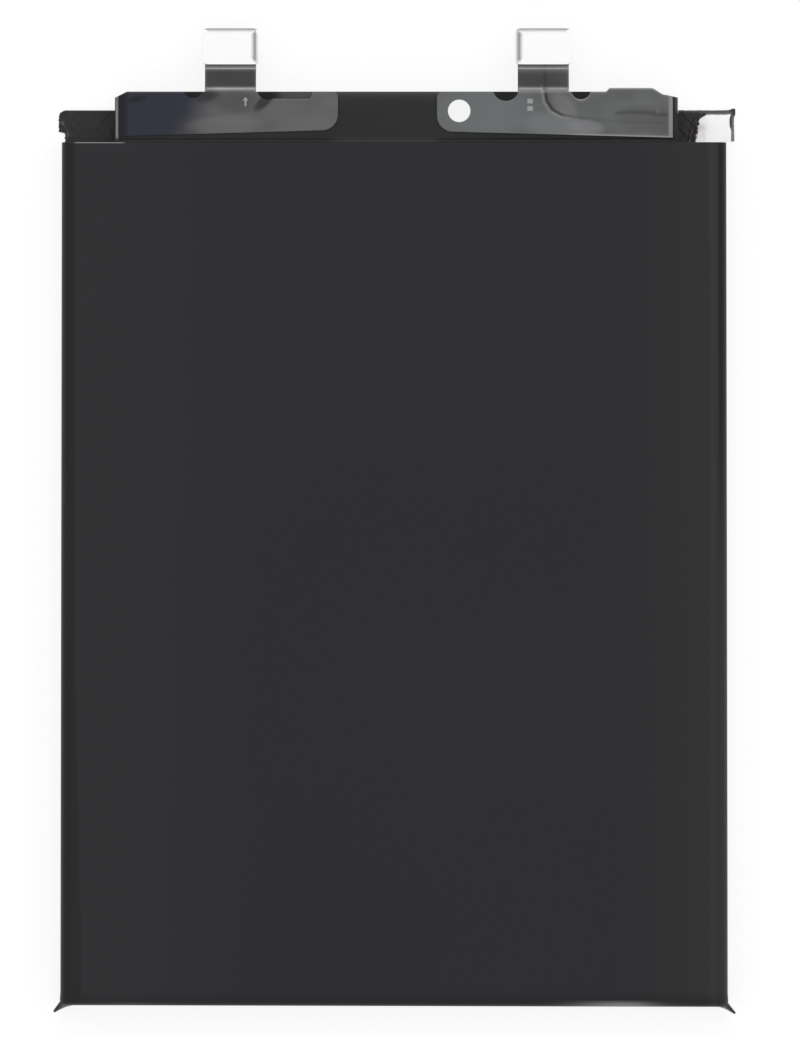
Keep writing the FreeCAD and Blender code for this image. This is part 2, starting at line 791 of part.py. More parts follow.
def make_board():
    body = new_body("protection_board")
    ends, sides = ("board_left", "board_right"), ("board_inner", "board_outer")
    pad(body, "Board", rectangle(*ends, *sides), "board_low", "board_thick")
    corners = [{"x": x, "y": y} for x in ends for y in sides]
    dress(body, "Fillet", "Corners", corners, "board_corner_radius")
    return body


# A moulded package under the board, its lower edges bevelled and a round mark by the first pin
def moulded_package(label, place, length, width, height):
    body = new_body(label)
    ends = [f"{place} - {length} / 2", f"{place} + {length} / 2"]
    faces = [f"board_middle - {width} / 2", f"board_middle + {width} / 2"]
    low = f"board_low - {height}"
    pad(body, "Package", rectangle(*ends, *faces), low, height)
    edges = [{"x": x, "z": low} for x in ends] + [{"y": y, "z": low} for y in faces]
    dress(body, "Chamfer", "Bevel", edges, "package_chamfer")
    mark = (f"{ends[0]} + package_mark_inset", f"{faces[0]} + package_mark_inset")
    pocket(body, "Mark", None, low, "package_mark_depth", circle=(mark, "package_mark / 2"))
    return body


# A small two-terminal part under the board: a block with a wrapped cap at each end
def small_chip(label, place, row, length, width, height):
    low, high = f"board_low - {height}", "board_low"
    front, back = f"{row} - {width} / 2", f"{row} + {width} / 2"
    ends = [f"{place} - {length} / 2", f"{place} + {length} / 2"]
    core = box(
        f"{label}_core",
        f"{ends[0]} + chip_cap_length",
        f"{ends[1]} - chip_cap_length",
        f"{front} + chip_cap_wrap",
        f"{back} - chip_cap_wrap",
        f"{low} + chip_cap_wrap",
        high,
    )
    first = box(f"{label}_first_cap", ends[0], f"{ends[0]} + chip_cap_length", front, back, low, high)
    last = box(f"{label}_last_cap", f"{ends[1]} - chip_cap_length", ends[1], front, back, low, high)
    chip = document.addObject("Part::MultiFuse", label)
    chip.Label = label
    chip.Shapes = [core, first, last]
    return chip


def chip_row(label, row):
    chips = []
    for index in range(chips_per_row):
        middle = f"{label}_place + {index} * chip_pitch"
        sizing = ("chip_length", "chip_width", f"{label}_height")
        chips.append(small_chip(f"{label}_{index + 1}", middle, row, *sizing))
    return group(f"chip_{label}s", chips)


def make_switches():
    switches = []
    for index in range(switch_count):
        middle = f"switch_place + {index} * switch_pitch"
        sizing = ("switch_length", "switch_width", "part_height")
        switches.append(moulded_package(f"switch_{index + 1}", middle, *sizing))
    return group("power_switches", switches)


def make_chip(name):
    sizing = (f"{name}_length", f"{name}_width", f"{name}_height")
    return moulded_package(f"{name}_chip", f"{name}_place", *sizing)


def make_sense_resistor():
    sizing = ("sense_length", "sense_width", "sense_height")
    return small_chip("sense_resistor", "sense_place", "board_middle", *sizing)


def make_thermistor():
    sizing = ("chip_length", "chip_width", "capacitor_height")
    return small_chip("thermistor", "thermistor_place", "near_row", *sizing)


def make_foam():
    body = new_body("foam_pad")
    outline = rectangle("foam_left", "foam_right", "foam_inner", "foam_outer")
    pad(body, "Pad", outline, "terrace_top", "foam_top - terrace_top")
    for pole in ("negative", "positive"):
        half = "tab_width / 2 + sealant_margin + hump_margin"
        sides = [f"{pole}_tab_centre - ({half})", f"{pole}_tab_centre + ({half})"]
        relief = rectangle(*sides, "foam_inner - laminate", "foam_outer + laminate")
        pocket(body, pole.title() + "Relief", relief, "terrace_top", "hump_top - terrace_top")
    return body


def make_paper():
    body = new_body("insulating_paper")
    outline = rectangle("foam_left", "foam_right", "foam_inner", "body_end + paper_reach")
    pad(body, "Sheet", outline, "foam_top", "paper_thick")
    corners = [{"x": x, "y": "body_end + paper_reach"} for x in ("foam_left", "foam_right")]
    dress(body, "Fillet", "Corners", corners, "board_corner_radius")
    return body


def make_dot():
    dot = document.addObject("Part::Cylinder", "moisture_dot")
    dot.Label = "moisture_dot"
    dot.setExpression("Radius", qualified("dot_diameter / 2"))
    dot.setExpression("Height", qualified("dot_thick"))
    for axis, text in (("x", "dot_place"), ("y", "header_edge - dot_setback"), ("z", "header_top")):
        dot.setExpression(f"Placement.Base.{axis}", qualified(text))
    return dot


nodes = [
    make_pouch(),
    make_film(),
    make_left_tape(),
    make_right_tape(),
    make_header_tape(),
    make_left_flex(),
    make_right_flex(),
    make_board(),
    make_foam(),
    make_paper(),
    make_dot(),
    make_switches(),
    make_chip("protection"),
    make_chip("gauge"),
    make_sense_resistor(),
    make_thermistor(),
    chip_row("capacitor", "near_row"),
    chip_row("resistor", "far_row"),
]
for side in ("left", "right"):
    nodes += [make_stiffener(side), make_connector(side), make_contacts(side)]
for pole, bulge in (("negative", "0"), ("positive", "bulge_out")):
    nodes += [make_tab(pole, bulge), make_sealant(pole), make_weld_plate(pole)]

document.recompute()

for item in document.Objects:
    if "Invalid" in item.State or "Error" in item.State:
        raise RuntimeError(f"{item.Label} did not recompute: {item.State}")
for node in nodes:
    if node.Shape.isNull() or not node.Shape.isValid():
        raise RuntimeError(f"{node.Label} has no valid shape")

os.makedirs("parts", exist_ok=True)
for node in nodes:
    node.Shape.exportStep(f"parts/{node.Label}.step")
    print(node.Label, len(node.Shape.Solids), round(node.Shape.Volume, 3))
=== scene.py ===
import json
import math

import bmesh
import bpy
import numpy as np
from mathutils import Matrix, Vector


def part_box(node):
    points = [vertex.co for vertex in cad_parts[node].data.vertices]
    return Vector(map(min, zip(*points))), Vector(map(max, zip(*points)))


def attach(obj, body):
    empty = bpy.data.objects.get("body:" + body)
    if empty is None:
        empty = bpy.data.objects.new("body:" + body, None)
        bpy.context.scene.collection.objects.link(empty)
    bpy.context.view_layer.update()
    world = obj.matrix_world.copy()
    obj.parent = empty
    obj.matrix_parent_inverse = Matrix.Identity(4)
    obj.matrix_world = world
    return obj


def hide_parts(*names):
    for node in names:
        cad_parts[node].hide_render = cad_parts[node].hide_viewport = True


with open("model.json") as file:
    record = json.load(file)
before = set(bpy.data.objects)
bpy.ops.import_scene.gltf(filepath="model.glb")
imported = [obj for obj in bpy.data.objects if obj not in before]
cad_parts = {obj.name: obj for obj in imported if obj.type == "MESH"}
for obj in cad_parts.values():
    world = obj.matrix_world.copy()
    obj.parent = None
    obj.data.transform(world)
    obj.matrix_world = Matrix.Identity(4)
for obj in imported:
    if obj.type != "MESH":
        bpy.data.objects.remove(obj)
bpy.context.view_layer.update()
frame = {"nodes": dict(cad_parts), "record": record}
nodes = frame["nodes"]
mm = 0.001
print("frame loaded:", len(nodes), "nodes")


# Lowest and highest corner of a node, in millimetres
def reach(node):
    low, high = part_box(node)
    return np.array(low) / mm, np.array(high) / mm


# Shader sums

# A socket that takes part in sums: each operator adds its own Math node
class Flow:
    def __init__(self, owner, socket):
        self.owner = owner
        self.socket = socket

    def maths(self, operation, *others, clamp=False):
        settings = {"operation": operation, "use_clamp": clamp}
        return self.owner.node("ShaderNodeMath", settings, dict(enumerate((self, *others))))

    def reflected(self, operation, other):
        return self.owner.node("ShaderNodeMath", {"operation": operation}, {0: other, 1: self})

    def __add__(self, other):
        return self.maths("ADD", other)

    def __radd__(self, other):
        return self.reflected("ADD", other)

    def __sub__(self, other):
        return self.maths("SUBTRACT", other)

    def __rsub__(self, other):
        return self.reflected("SUBTRACT", other)

    def __mul__(self, other):
        return self.maths("MULTIPLY", other)

    def __rmul__(self, other):
        return self.reflected("MULTIPLY", other)

    def __truediv__(self, other):
        return self.maths("DIVIDE", other)

    def abs(self):
        return self.maths("ABSOLUTE")

    def most(self, other):
        return self.maths("MAXIMUM", other)

    # 0 below low, 1 above high, a soft step between
    def step(self, low, high):
        settings = {"interpolation_type": "SMOOTHSTEP"}
        return self.owner.node("ShaderNodeMapRange", settings, {0: self, 1: low, 2: high, 3: 0.0, 4: 1.0})

    # 1 between two soft steps, 0 outside them
    def band(self, rise, fall):
        return self.step(*rise) * (1 - self.step(*fall))


# Any node comes from here: its kind, its settings first, then the values or links of its sockets
class NodeTree:
    def __init__(self, tree):
        self.tree = tree

    def node(self, kind, settings=None, sockets=None, output=0):
        made = self.tree.nodes.new(kind)
        for name, value in (settings or {}).items():
            setattr(made, name, value)
        for key, value in (sockets or {}).items():
            if isinstance(value, Flow):
                self.tree.links.new(value.socket, made.inputs[key])
            else:
                made.inputs[key].default_value = value
        return Flow(self, made.outputs[output])

    def vector(self, operation, sockets):
        return self.node("ShaderNodeVectorMath", {"operation": operation}, sockets)

    # 1 for the rays that show the background: straight from the camera, or by way of metal or glass
    def seen(self):
        kinds = ("Camera", "Glossy", "Transmission")
        rays = [self.node("ShaderNodeLightPath", output=f"Is {kind} Ray") for kind in kinds]
        return (rays[0] + rays[1]).maths("ADD", rays[2], clamp=True)


# One material: its main shader and the ways to fill it
class Finish(NodeTree):
    def __init__(self, name, **constants):
        self.material = bpy.data.materials.new(name)
        self.material.use_nodes = True
        super().__init__(self.material.node_tree)
        self.shader = self.tree.nodes["Principled BSDF"]
        for socket, value in constants.items():
            self.shader.inputs[socket.replace("_", " ")].default_value = value
        place = self.node("ShaderNodeTexCoord", output="Object")
        self.place = self.vector("SCALE", {0: place, "Scale": 1 / mm})
        axes = [self.node("ShaderNodeSeparateXYZ", {}, {0: self.place}, output=axis) for axis in range(3)]
        self.x, self.y, self.z = axes

    def feed(self, socket, flow):
        self.tree.links.new(flow.socket, self.shader.inputs[socket])

    # A value kept on the piece's own points, such as how near a point lies to a groove
    def kept(self, name):
        return self.node("ShaderNodeAttribute", {"attribute_name": name}, output="Fac")

    # Cloudy values from 0 to 1, scale in blobs for each millimetre
    def clouds(self, scale, detail=3.0, roughness=0.5, distortion=0.0, at=None):
        values = {"Scale": scale, "Detail": detail, "Roughness": roughness, "Distortion": distortion}
        return self.node("ShaderNodeTexNoise", {}, {"Vector": at or self.place, **values})

    # 0 on the ridges of an irregular net of facets, rising away from them
    def facets(self, scale, randomness=1.0, at=None):
        values = {"Vector": at or self.place, "Scale": scale, "Randomness": randomness}
        return self.node("ShaderNodeTexVoronoi", {"feature": "DISTANCE_TO_EDGE"}, values)

    # The place drawn out along the axes by three factors
    def stretched(self, factors):
        return self.vector("MULTIPLY", {0: self.place, 1: factors})

    # The place pushed about by soft noise, for lines that wander
    def wandering(self, scale, amount):
        values = {"Vector": self.place, "Scale": scale, "Detail": 2.0}
        push = self.node("ShaderNodeTexNoise", {}, values, output=1)
        centred = self.vector("SUBTRACT", {0: push, 1: (0.5, 0.5, 0.5)})
        return self.vector("ADD", {0: self.place, 1: self.vector("SCALE", {0: centred, "Scale": amount})})

    def blend(self, factor, first, second):
        colours = [value if isinstance(value, Flow) else (*value, 1.0) for value in (first, second)]
        sockets = {0: factor, 6: colours[0], 7: colours[1]}
        return self.node("ShaderNodeMix", {"data_type": "RGBA"}, sockets, output=2)

    # Relief: heights in millimetres, the last bump in the chain feeds the shader
    def relief(self, *heights):
        normal = None
        for height in heights:
            sockets = {"Height": height * mm, "Distance": 1.0}
            if normal:
                sockets["Normal"] = normal
            normal = self.node("ShaderNodeBump", {}, sockets)
        self.feed("Normal", normal)


# Finishes

# Satin black film: near even colour, a fine grain, a very slow swell, its overlap across the back, a painted
# sheen that makes it paler towards both sides, a painted highlight on the cut edge at the top left and
# painted shade on its rounded bends
def filmFinish():
    look = {
        "low": (0.0132, 0.0122, 0.0155),
        "high": (0.015, 0.0138, 0.0173),
        "left": (0.0175, 0.0173, 0.0197),
        "leftSheenFade": (-29.0, -12.0),
        "right": (0.0193, 0.0193, 0.0191),
        "rightSheenFade": (21.0, 32.0),
        "bend": (0.0045, 0.0045, 0.006),
        "bendShadeShare": 0.8,
        "lit": (0.24, 0.24, 0.24),
        "cut": ((-31.4, -31.0), (-26.6, -26.2)),
        "cutHighlightAbove": (42.08, 42.12),
        "overlap": (9.0, 9.12),
        "backBelow": (0.1, 0.2),
    }
    finish = Finish("blackFilm", Specular_IOR_Level=0.22, IOR=1.48)
    colour = finish.blend(finish.clouds(0.035, detail=2.0), look["low"], look["high"])
    # Painted sheen: the film is paler towards its left and right sides
    colour = finish.blend(finish.x.step(*look["leftSheenFade"]), look["left"], colour)
    colour = finish.blend(finish.x.step(*look["rightSheenFade"]), colour, look["right"])
    # Painted shade on the rounded bends, kept on the points
    colour = finish.blend(finish.kept("bend") * look["bendShadeShare"], colour, look["bend"])
    # Painted highlight on the cut edge at the top left, joined with the painted highlights kept on the points
    cut = finish.x.band(*look["cut"]) * finish.y.step(*look["cutHighlightAbove"])
    finish.feed("Base Color", finish.blend(cut.most(finish.kept("lit")), colour, look["lit"]))
    finish.feed("Roughness", 0.36 + finish.clouds(0.11, detail=4.0, roughness=0.6) * 0.14)
    overlap = finish.x.step(*look["overlap"]) * (1 - finish.z.step(*look["backBelow"]))
    swell, grain = finish.clouds(0.06, detail=1.0), finish.clouds(7.0, detail=2.0)
    finish.relief(swell * 0.05, overlap * 0.05, grain * 0.0012)
    return finish.material


# What all tapes share: their own two tones, the colour of painted shade, and how creases wander and fade
tape = {
    "low": (0.0115, 0.0115, 0.012),
    "high": (0.0185, 0.0183, 0.0185),
    "shade": (0.0015, 0.0015, 0.0018),
    "wander": (0.5, 1.2),
    "creaseSoft": (0.0, 0.28),
}


# Matt black tape: fine grain, soft creases that run at random, painted highlights and painted shade where the
# piece keeps them
def tapeFinish(name, look):
    finish = Finish(name, Specular_IOR_Level=look["gloss"], IOR=1.47)
    colour = finish.blend(finish.clouds(0.3), tape["low"], tape["high"])
    # Painted shade where the piece keeps it
    colour = finish.blend(finish.kept("shade"), colour, tape["shade"])
    # Painted highlights where the piece keeps them
    finish.feed("Base Color", finish.blend(finish.kept("scuff"), colour, look["scuff"]))
    finish.feed("Roughness", look["rough"] + finish.clouds(0.9) * 0.2)
    net = finish.facets(look["creaseScale"], at=finish.wandering(*tape["wander"]))
    folds = (1 - net.step(*tape["creaseSoft"])) * finish.clouds(0.35, detail=1.0)
    finish.relief(folds * look["crease"], finish.clouds(9.0, detail=2.0) * 0.0015)
    return finish.material


# What both circuits share: where the tone changes up the strip and down the tail, the colours of painted
# shade and painted highlights, and the ink colour
coverlay = {
    "streaks": (0.45, 1.3, 1.0),
    "brushed": (0.25, 2.6, 1.0),
    "toneSoft": (0.32, 0.68),
    "middle": 45.0,
    "darkBelow": (46.9, 47.4),
    "slope": ((47.55, 47.75), (49.2, 49.4)),
    "plateShadow": (49.58, 49.68),
    "patchSoft": (0.2, 1.6),
    "slopeShadeColour": (0.008, 0.008, 0.009),
    "grooveShadeColour": (0.012, 0.012, 0.014),
    "ridgeHighlightColour": (0.3, 0.3, 0.3),
    "inkColour": (0.55, 0.55, 0.54),
    "metallic": 0.8,
}


# Dark coverlay through which copper glints: a clouded grey with painted shade towards one end, soft patches
# of painted highlight and shade, painted shade in its grooves, painted highlights on its ridges and bends,
# pale cut edges, painted shade down the tail's slope and a painted shadow under the plate
def coverlayFinish(name, look):
    finish = Finish(name, Specular_IOR_Level=0.4, IOR=1.5, Metallic=coverlay["metallic"])
    streaks = finish.clouds(0.5, at=finish.stretched(coverlay["streaks"]))
    tone = (finish.clouds(0.16, detail=2.0) * 0.6 + streaks * 0.4).step(*coverlay["toneSoft"])
    colour = finish.blend(tone, look["low"], look["high"])
    # Painted shade: darker towards one end along a wandering soft edge
    wander = (finish.clouds(0.35, detail=2.0) - 0.5) * look["darkWander"]
    wander = wander + (finish.y - coverlay["middle"]) * look["darkLean"]
    dark = 1 - (finish.x - look["darkUntil"] - wander).step(-look["darkSoft"], look["darkSoft"])
    colour = finish.blend(dark * (1 - finish.y.step(*coverlay["darkBelow"])), colour, look["dark"])
    # Patches of painted highlight and painted shade
    for x, y, wide, tall, lean, strength, patchColour in look["patches"]:
        across = (finish.x - x) / wide
        up = (finish.y - y - (finish.x - x) * lean) / tall
        inside = 1 - (across * across + up * up).step(*coverlay["patchSoft"])
        colour = finish.blend(inside * strength, colour, patchColour)
    # Painted shade down the tail's slope and a painted shadow under the plate
    slope = finish.y.band(*coverlay["slope"]) * look["slope"]
    plateShadow = finish.y.step(*coverlay["plateShadow"]) * 0.1
    colour = finish.blend(slope.most(plateShadow), colour, coverlay["slopeShadeColour"])
    # Painted shade in the grooves and along the tracks
    colour = finish.blend(finish.kept("groove"), colour, coverlay["grooveShadeColour"])
    # Painted highlights on the ridges and bends, with the paler cut edges
    colour = finish.blend(finish.kept("ridge"), colour, coverlay["ridgeHighlightColour"])
    ink = look["mark"](finish)
    finish.feed("Base Color", finish.blend(ink, colour, coverlay["inkColour"]))
    finish.feed("Metallic", coverlay["metallic"] - ink * 0.7)
    finish.feed("Roughness", 0.27 + finish.clouds(0.6) * 0.1 + ink * 0.3)
    brushed = finish.clouds(1.0, detail=2.0, at=finish.stretched(coverlay["brushed"]))
    finish.relief(brushed * 0.004, finish.clouds(0.3, detail=1.0) * 0.02, finish.clouds(5.0) * 0.001)
    return finish.material


# A plain arrow, printed small, pointing along the tail
def arrowMark(finish):
    arrow = {"x": -14.53, "tip": 46.62, "length": 0.87, "shaftHalf": 0.07, "headHalf": 0.24, "headLong": 0.34}
    ink, soft = 0.5, 0.03
    across, below = (finish.x - arrow["x"]).abs(), arrow["tip"] - finish.y
    shaft = (1 - across.step(arrow["shaftHalf"], arrow["shaftHalf"] + soft)) * below.step(0.1, 0.1 + soft)
    shaft = shaft * (1 - below.step(arrow["length"], arrow["length"] + 0.04))
    slope = arrow["headHalf"] / arrow["headLong"]
    head = (1 - (across - below * slope).step(0.0, soft)) * below.step(0.0, 0.02)
    head = head * (1 - below.step(arrow["headLong"], arrow["headLong"] + soft))
    return shaft.most(head) * ink


# Two short plain bars, printed small
def barMark(finish):
    bars = {"x": 13.3, "y": 45.85, "wide": (0.24, 0.29), "tall": (0.18, 0.26), "apart": 0.72, "ink": 0.42}
    across = 1 - (finish.x - bars["x"]).abs().step(*bars["wide"])
    offset = ((finish.y - bars["y"]).abs() - bars["apart"] / 2).abs()
    return across * (1 - offset.step(*bars["tall"])) * bars["ink"]


# Patches of painted highlight and painted shade: middle across and up, half width, half height, lean,
# strength, colour
leftLook = {
    "low": (0.098, 0.098, 0.1),
    "high": (0.13, 0.13, 0.13),
    # Painted shade towards the left end: its colour, where it ends, how soft, how far it wanders and how it
    # leans
    "dark": (0.03, 0.031, 0.044),
    "darkUntil": -18.9,
    "darkSoft": 2.1,
    "darkWander": 2.4,
    "darkLean": 0.5,
    "patches": (
        (-27.0, 45.0, 0.9, 9.0, 0.0, 0.8, (0.014, 0.014, 0.018)),
        (-25.1, 46.4, 0.9, 0.3, 0.2, 0.6, (0.014, 0.014, 0.018)),
        (-16.5, 43.9, 3.6, 0.9, 0.05, 0.3, (0.17, 0.17, 0.17)),
        (-15.4, 46.1, 2.3, 1.1, 0.0, 0.55, (0.06, 0.06, 0.062)),
        (-18.6, 46.9, 1.4, 0.8, 0.0, 0.7, (0.03, 0.03, 0.035)),
        (-12.6, 46.3, 1.1, 0.7, 0.8, 0.8, (0.022, 0.022, 0.024)),
    ),
    "slope": 0.5,
    "mark": arrowMark,
}
rightLook = {
    "low": (0.094, 0.096, 0.096),
    "high": (0.135, 0.138, 0.138),
    "dark": (0.03, 0.03, 0.032),
    "darkUntil": -60.0,
    "darkSoft": 1.0,
    "darkWander": 0.5,
    "darkLean": 0.0,
    "patches": (
        (9.0, 45.0, 5.5, 3.0, 0.0, 0.75, (0.142, 0.152, 0.155)),
        (15.6, 43.8, 2.6, 1.5, 0.0, 0.6, (0.19, 0.195, 0.2)),
        (18.8, 43.7, 1.7, 0.7, -0.1, 0.5, (0.24, 0.24, 0.25)),
        (16.7, 45.7, 1.2, 1.1, -0.6, 0.4, (0.19, 0.19, 0.19)),
        (24.6, 44.4, 2.8, 1.4, 0.0, 0.6, (0.085, 0.085, 0.085)),
    ),
    "slope": 0.42,
    "mark": barMark,
}


# Bright rolled steel: faint rolling lines along the tail, a few soft smudges, painted shade on the rolled
# border
def steelFinish():
    finish = Finish("brightSteel", Metallic=1.0)
    lines = finish.clouds(1.0, at=finish.stretched((9.0, 0.5, 1.0)))
    smudge = finish.clouds(0.4)
    colour = finish.blend(smudge, (0.94, 0.94, 0.945), (0.985, 0.985, 0.985))
    # Painted shade on the rolled border
    finish.feed("Base Color", finish.blend(finish.kept("border"), colour, (0.2, 0.2, 0.2)))
    finish.feed("Roughness", 0.09 + lines * 0.05 + smudge * 0.05 + finish.kept("border") * 0.2)
    finish.relief(lines * 0.0008, smudge * 0.004)
    return finish.material


# Pouch laminate: pale aluminium under clear polymer, soft dents, and a shaded pucker beside the right tape
def foilFinish():
    look = {
        "low": (0.91, 0.9, 0.905),
        "high": (0.975, 0.97, 0.975),
        "shadedLow": (0.36, 0.335, 0.35),
        "shadedHigh": (0.8, 0.77, 0.79),
        "puckerFrom": (27.0, 28.0),
        "puckerTo": (29.8, 31.1),
        "puckerUp": (42.15, 42.25),
        "puckerFade": (43.4, 44.6),
        "onTop": (0.2, 0.25),
    }
    finish = Finish("foilLaminate", Metallic=0.7, Coat_Roughness=0.2)
    dents = finish.clouds(0.7, distortion=0.6)
    folds = finish.clouds(1.1, detail=2.0, distortion=0.8, at=finish.stretched((1.4, 0.6, 1.0)))
    pucker = (1 - finish.x.step(*look["puckerTo"])) * finish.x.step(*look["puckerFrom"])
    pucker = pucker * finish.y.step(*look["puckerUp"]) * finish.z.step(*look["onTop"])
    pucker = pucker * (1 - finish.y.step(*look["puckerFade"]) * 0.7)
    pale = finish.blend(dents, look["low"], look["high"])
    shaded = finish.blend(folds.step(0.3, 0.66), look["shadedLow"], look["shadedHigh"])
    finish.feed("Base Color", finish.blend(pucker * 0.9, pale, shaded))
    finish.feed("Roughness", 0.3 + dents * 0.16)
    finish.feed("Coat Weight", 0.2 + dents * 0.3)
    finish.relief(dents * 0.03, folds * pucker * 0.08, finish.clouds(8.0) * 0.0015)
    return finish.material


# Paper, fired ceramic or milky polymer: one cloudy pattern carries the colour, the roughness and the relief
def cloudyFinish(name, look):
    finish = Finish(name, Specular_IOR_Level=look["gloss"])
    at = finish.stretched(look["drawn"]) if "drawn" in look else None
    cloud = finish.clouds(look["scale"], detail=look["detail"], roughness=look["ragged"], at=at)
    roughLow, roughSpan = look["rough"]
    finish.feed("Base Color", finish.blend(cloud, look["low"], look["high"]))
    finish.feed("Roughness", roughLow + cloud * roughSpan)
    finish.relief(cloud * look["relief"])
    return finish.material


# Moulded plastic: even colour with a faint mottle and a fine spark-eroded texture
def mouldedFinish(name, dark, pale, rough):
    finish = Finish(name, Specular_IOR_Level=0.45)
    finish.feed("Base Color", finish.blend(finish.clouds(1.6), dark, pale))
    finish.feed("Roughness", rough + finish.clouds(4.0) * 0.14)
    finish.relief(finish.clouds(14.0) * 0.0025)
    return finish.material


# Rolled or plated metal: colour, drawn lines along one axis, soft tarnish
def metalFinish(name, bright, tarnished, rough, drawn):
    finish = Finish(name, Metallic=1.0)
    lines = finish.clouds(1.0, at=finish.stretched(drawn))
    tarnish = finish.clouds(0.8, detail=4.0, roughness=0.6)
    finish.feed("Base Color", finish.blend(tarnish.step(0.35, 0.8), bright, tarnished))
    finish.feed("Roughness", rough + lines * 0.12)
    finish.relief(lines * 0.0015, tarnish * 0.003)
    return finish.material


# Solder mask on glass laminate: tracks under the mask, a weave beneath
def boardFinish():
    finish = Finish("boardLaminate", Specular_IOR_Level=0.5, Coat_Weight=0.3, Coat_Roughness=0.15)
    tracks = finish.facets(0.9, randomness=0.55).step(0.1, 0.16)
    weave = finish.node("ShaderNodeTexWave", {}, {"Vector": finish.place, "Scale": 1.4}, output=1)
    ground = finish.blend(tracks, (0.02, 0.1, 0.05), (0.035, 0.17, 0.085))
    finish.feed("Base Color", finish.blend(weave * 0.15, ground, (0.06, 0.22, 0.12)))
    finish.feed("Roughness", 0.3 + weave * 0.1)
    finish.relief(tracks * 0.012, weave * 0.001)
    return finish.material


# Closed-cell foam: tight bubbles
def foamFinish():
    finish = Finish("greyFoam", Specular_IOR_Level=0.2)
    bubbles = finish.facets(5.0)
    colour = finish.blend(bubbles.step(0.0, 0.4), (0.035, 0.035, 0.036), (0.11, 0.11, 0.112))
    finish.feed("Base Color", colour)
    finish.feed("Roughness", 0.8 + bubbles * 0.15)
    finish.relief(bubbles.step(0.0, 0.5) * 0.04)
    return finish.material


plainTape = {"gloss": 0.25, "rough": 0.42, "crease": 0.02, "creaseScale": 0.3, "scuff": (0.3, 0.3, 0.3)}
endTape = {"gloss": 0.34, "rough": 0.32, "crease": 0.04, "creaseScale": 0.5, "scuff": (0.34, 0.34, 0.34)}
crumpledTape = {"gloss": 0.36, "rough": 0.3, "crease": 0.05, "creaseScale": 0.8, "scuff": (0.2, 0.14, 0.135)}
ceramic = {
    "gloss": 0.5, "scale": 6.0, "detail": 3.0, "ragged": 0.5, "rough": (0.4, 0.2), "relief": 0.003,
    "low": (0.3, 0.21, 0.14), "high": (0.5, 0.38, 0.27),
}
sealant = {
    "gloss": 0.5, "scale": 1.2, "detail": 3.0, "ragged": 0.5, "rough": (0.28, 0.2), "relief": 0.01,
    "low": (0.66, 0.62, 0.5), "high": (0.8, 0.77, 0.66),
}
fibrePaper = {
    "gloss": 0.2, "scale": 1.2, "detail": 5.0, "ragged": 0.7, "rough": (0.75, 0.15), "relief": 0.006,
    "low": (0.5, 0.55, 0.4), "high": (0.68, 0.72, 0.56), "drawn": (1.0, 4.0, 1.0),
}
whitePaper = {
    "gloss": 0.25, "scale": 3.0, "detail": 4.0, "ragged": 0.7, "rough": (0.62, 0.2), "relief": 0.004,
    "low": (0.91, 0.91, 0.905), "high": (0.98, 0.98, 0.975),
}

finishes = {
    "black_film": filmFinish(),
    "foil_laminate": foilFinish(),
    "black_tape": tapeFinish("blackTape", plainTape),
    "end_tape": tapeFinish("endTape", endTape),
    "crumpled_tape": tapeFinish("crumpledTape", crumpledTape),
    "flex_coverlay": coverlayFinish("leftCoverlay", leftLook),
    "right_coverlay": coverlayFinish("rightCoverlay", rightLook),
    "bright_steel": steelFinish(),
    "connector_plastic": mouldedFinish("connectorPlastic", (0.03, 0.03, 0.032), (0.05, 0.05, 0.052), 0.4),
    "gold_plate": metalFinish("goldPlate", (0.9, 0.7, 0.34), (0.7, 0.48, 0.2), 0.18, (1.0, 1.0, 8.0)),
    "board_laminate": boardFinish(),
    "nickel": metalFinish("rolledNickel", (0.72, 0.7, 0.66), (0.55, 0.52, 0.48), 0.28, (8.0, 0.6, 1.0)),
    "tab_aluminium": metalFinish("tabAluminium", (0.86, 0.86, 0.87), (0.7, 0.7, 0.72), 0.3, (8.0, 0.6, 1.0)),
    "sealant_polymer": cloudyFinish("sealantPolymer", sealant),
    "moulded_black": mouldedFinish("mouldedBlack", (0.012, 0.012, 0.012), (0.03, 0.03, 0.03), 0.5),
    "chip_ceramic": cloudyFinish("chipCeramic", ceramic),
    "grey_foam": foamFinish(),
    "insulating_sheet": cloudyFinish("insulatingSheet", fibrePaper),
    "dot_paper": cloudyFinish("dotPaper", whitePaper),
}
print("finishes made:", len(finishes))

for part in frame["record"]["subparts"]:
    mesh = nodes[part["node"]].data
    mesh.materials.clear()
    mesh.materials.append(finishes[part["material_slot"]])


# Surfaces

# Even runs of numbers joined end to end, each given as start, end and count
def runs(*spans):
    parts = [np.linspace(start, end, count, endpoint=False) for start, end, count in spans]
    return np.concatenate([*parts, [spans[-1][1]]])


# 0 below low, 1 above high, a soft step between
def smooth(value, low, high):
    part = np.clip((value - low) / (high - low), 0.0, 1.0)
    return part * part * (3 - 2 * part)


# 1 between two soft steps, 0 outside them
def band(value, rise, fall):
    return smooth(value, *rise) * (1 - smooth(value, *fall))


# 1 in the middle, falling away on both sides as a bell does; a higher power flattens its top
def bell(value, middle, wide, power=2):
    return np.exp(-(((value - middle) / wide) ** power))


# Values along a path, each evened out with its neighbours
def evened(values, count):
    kernel = np.hanning(count) / np.hanning(count).sum()
    return np.convolve(np.pad(values, count // 2, mode="edge"), kernel, mode="valid")


# A base, and what a share adds to it
def raised(pair, share):
    base, more = pair
    return base + more * share


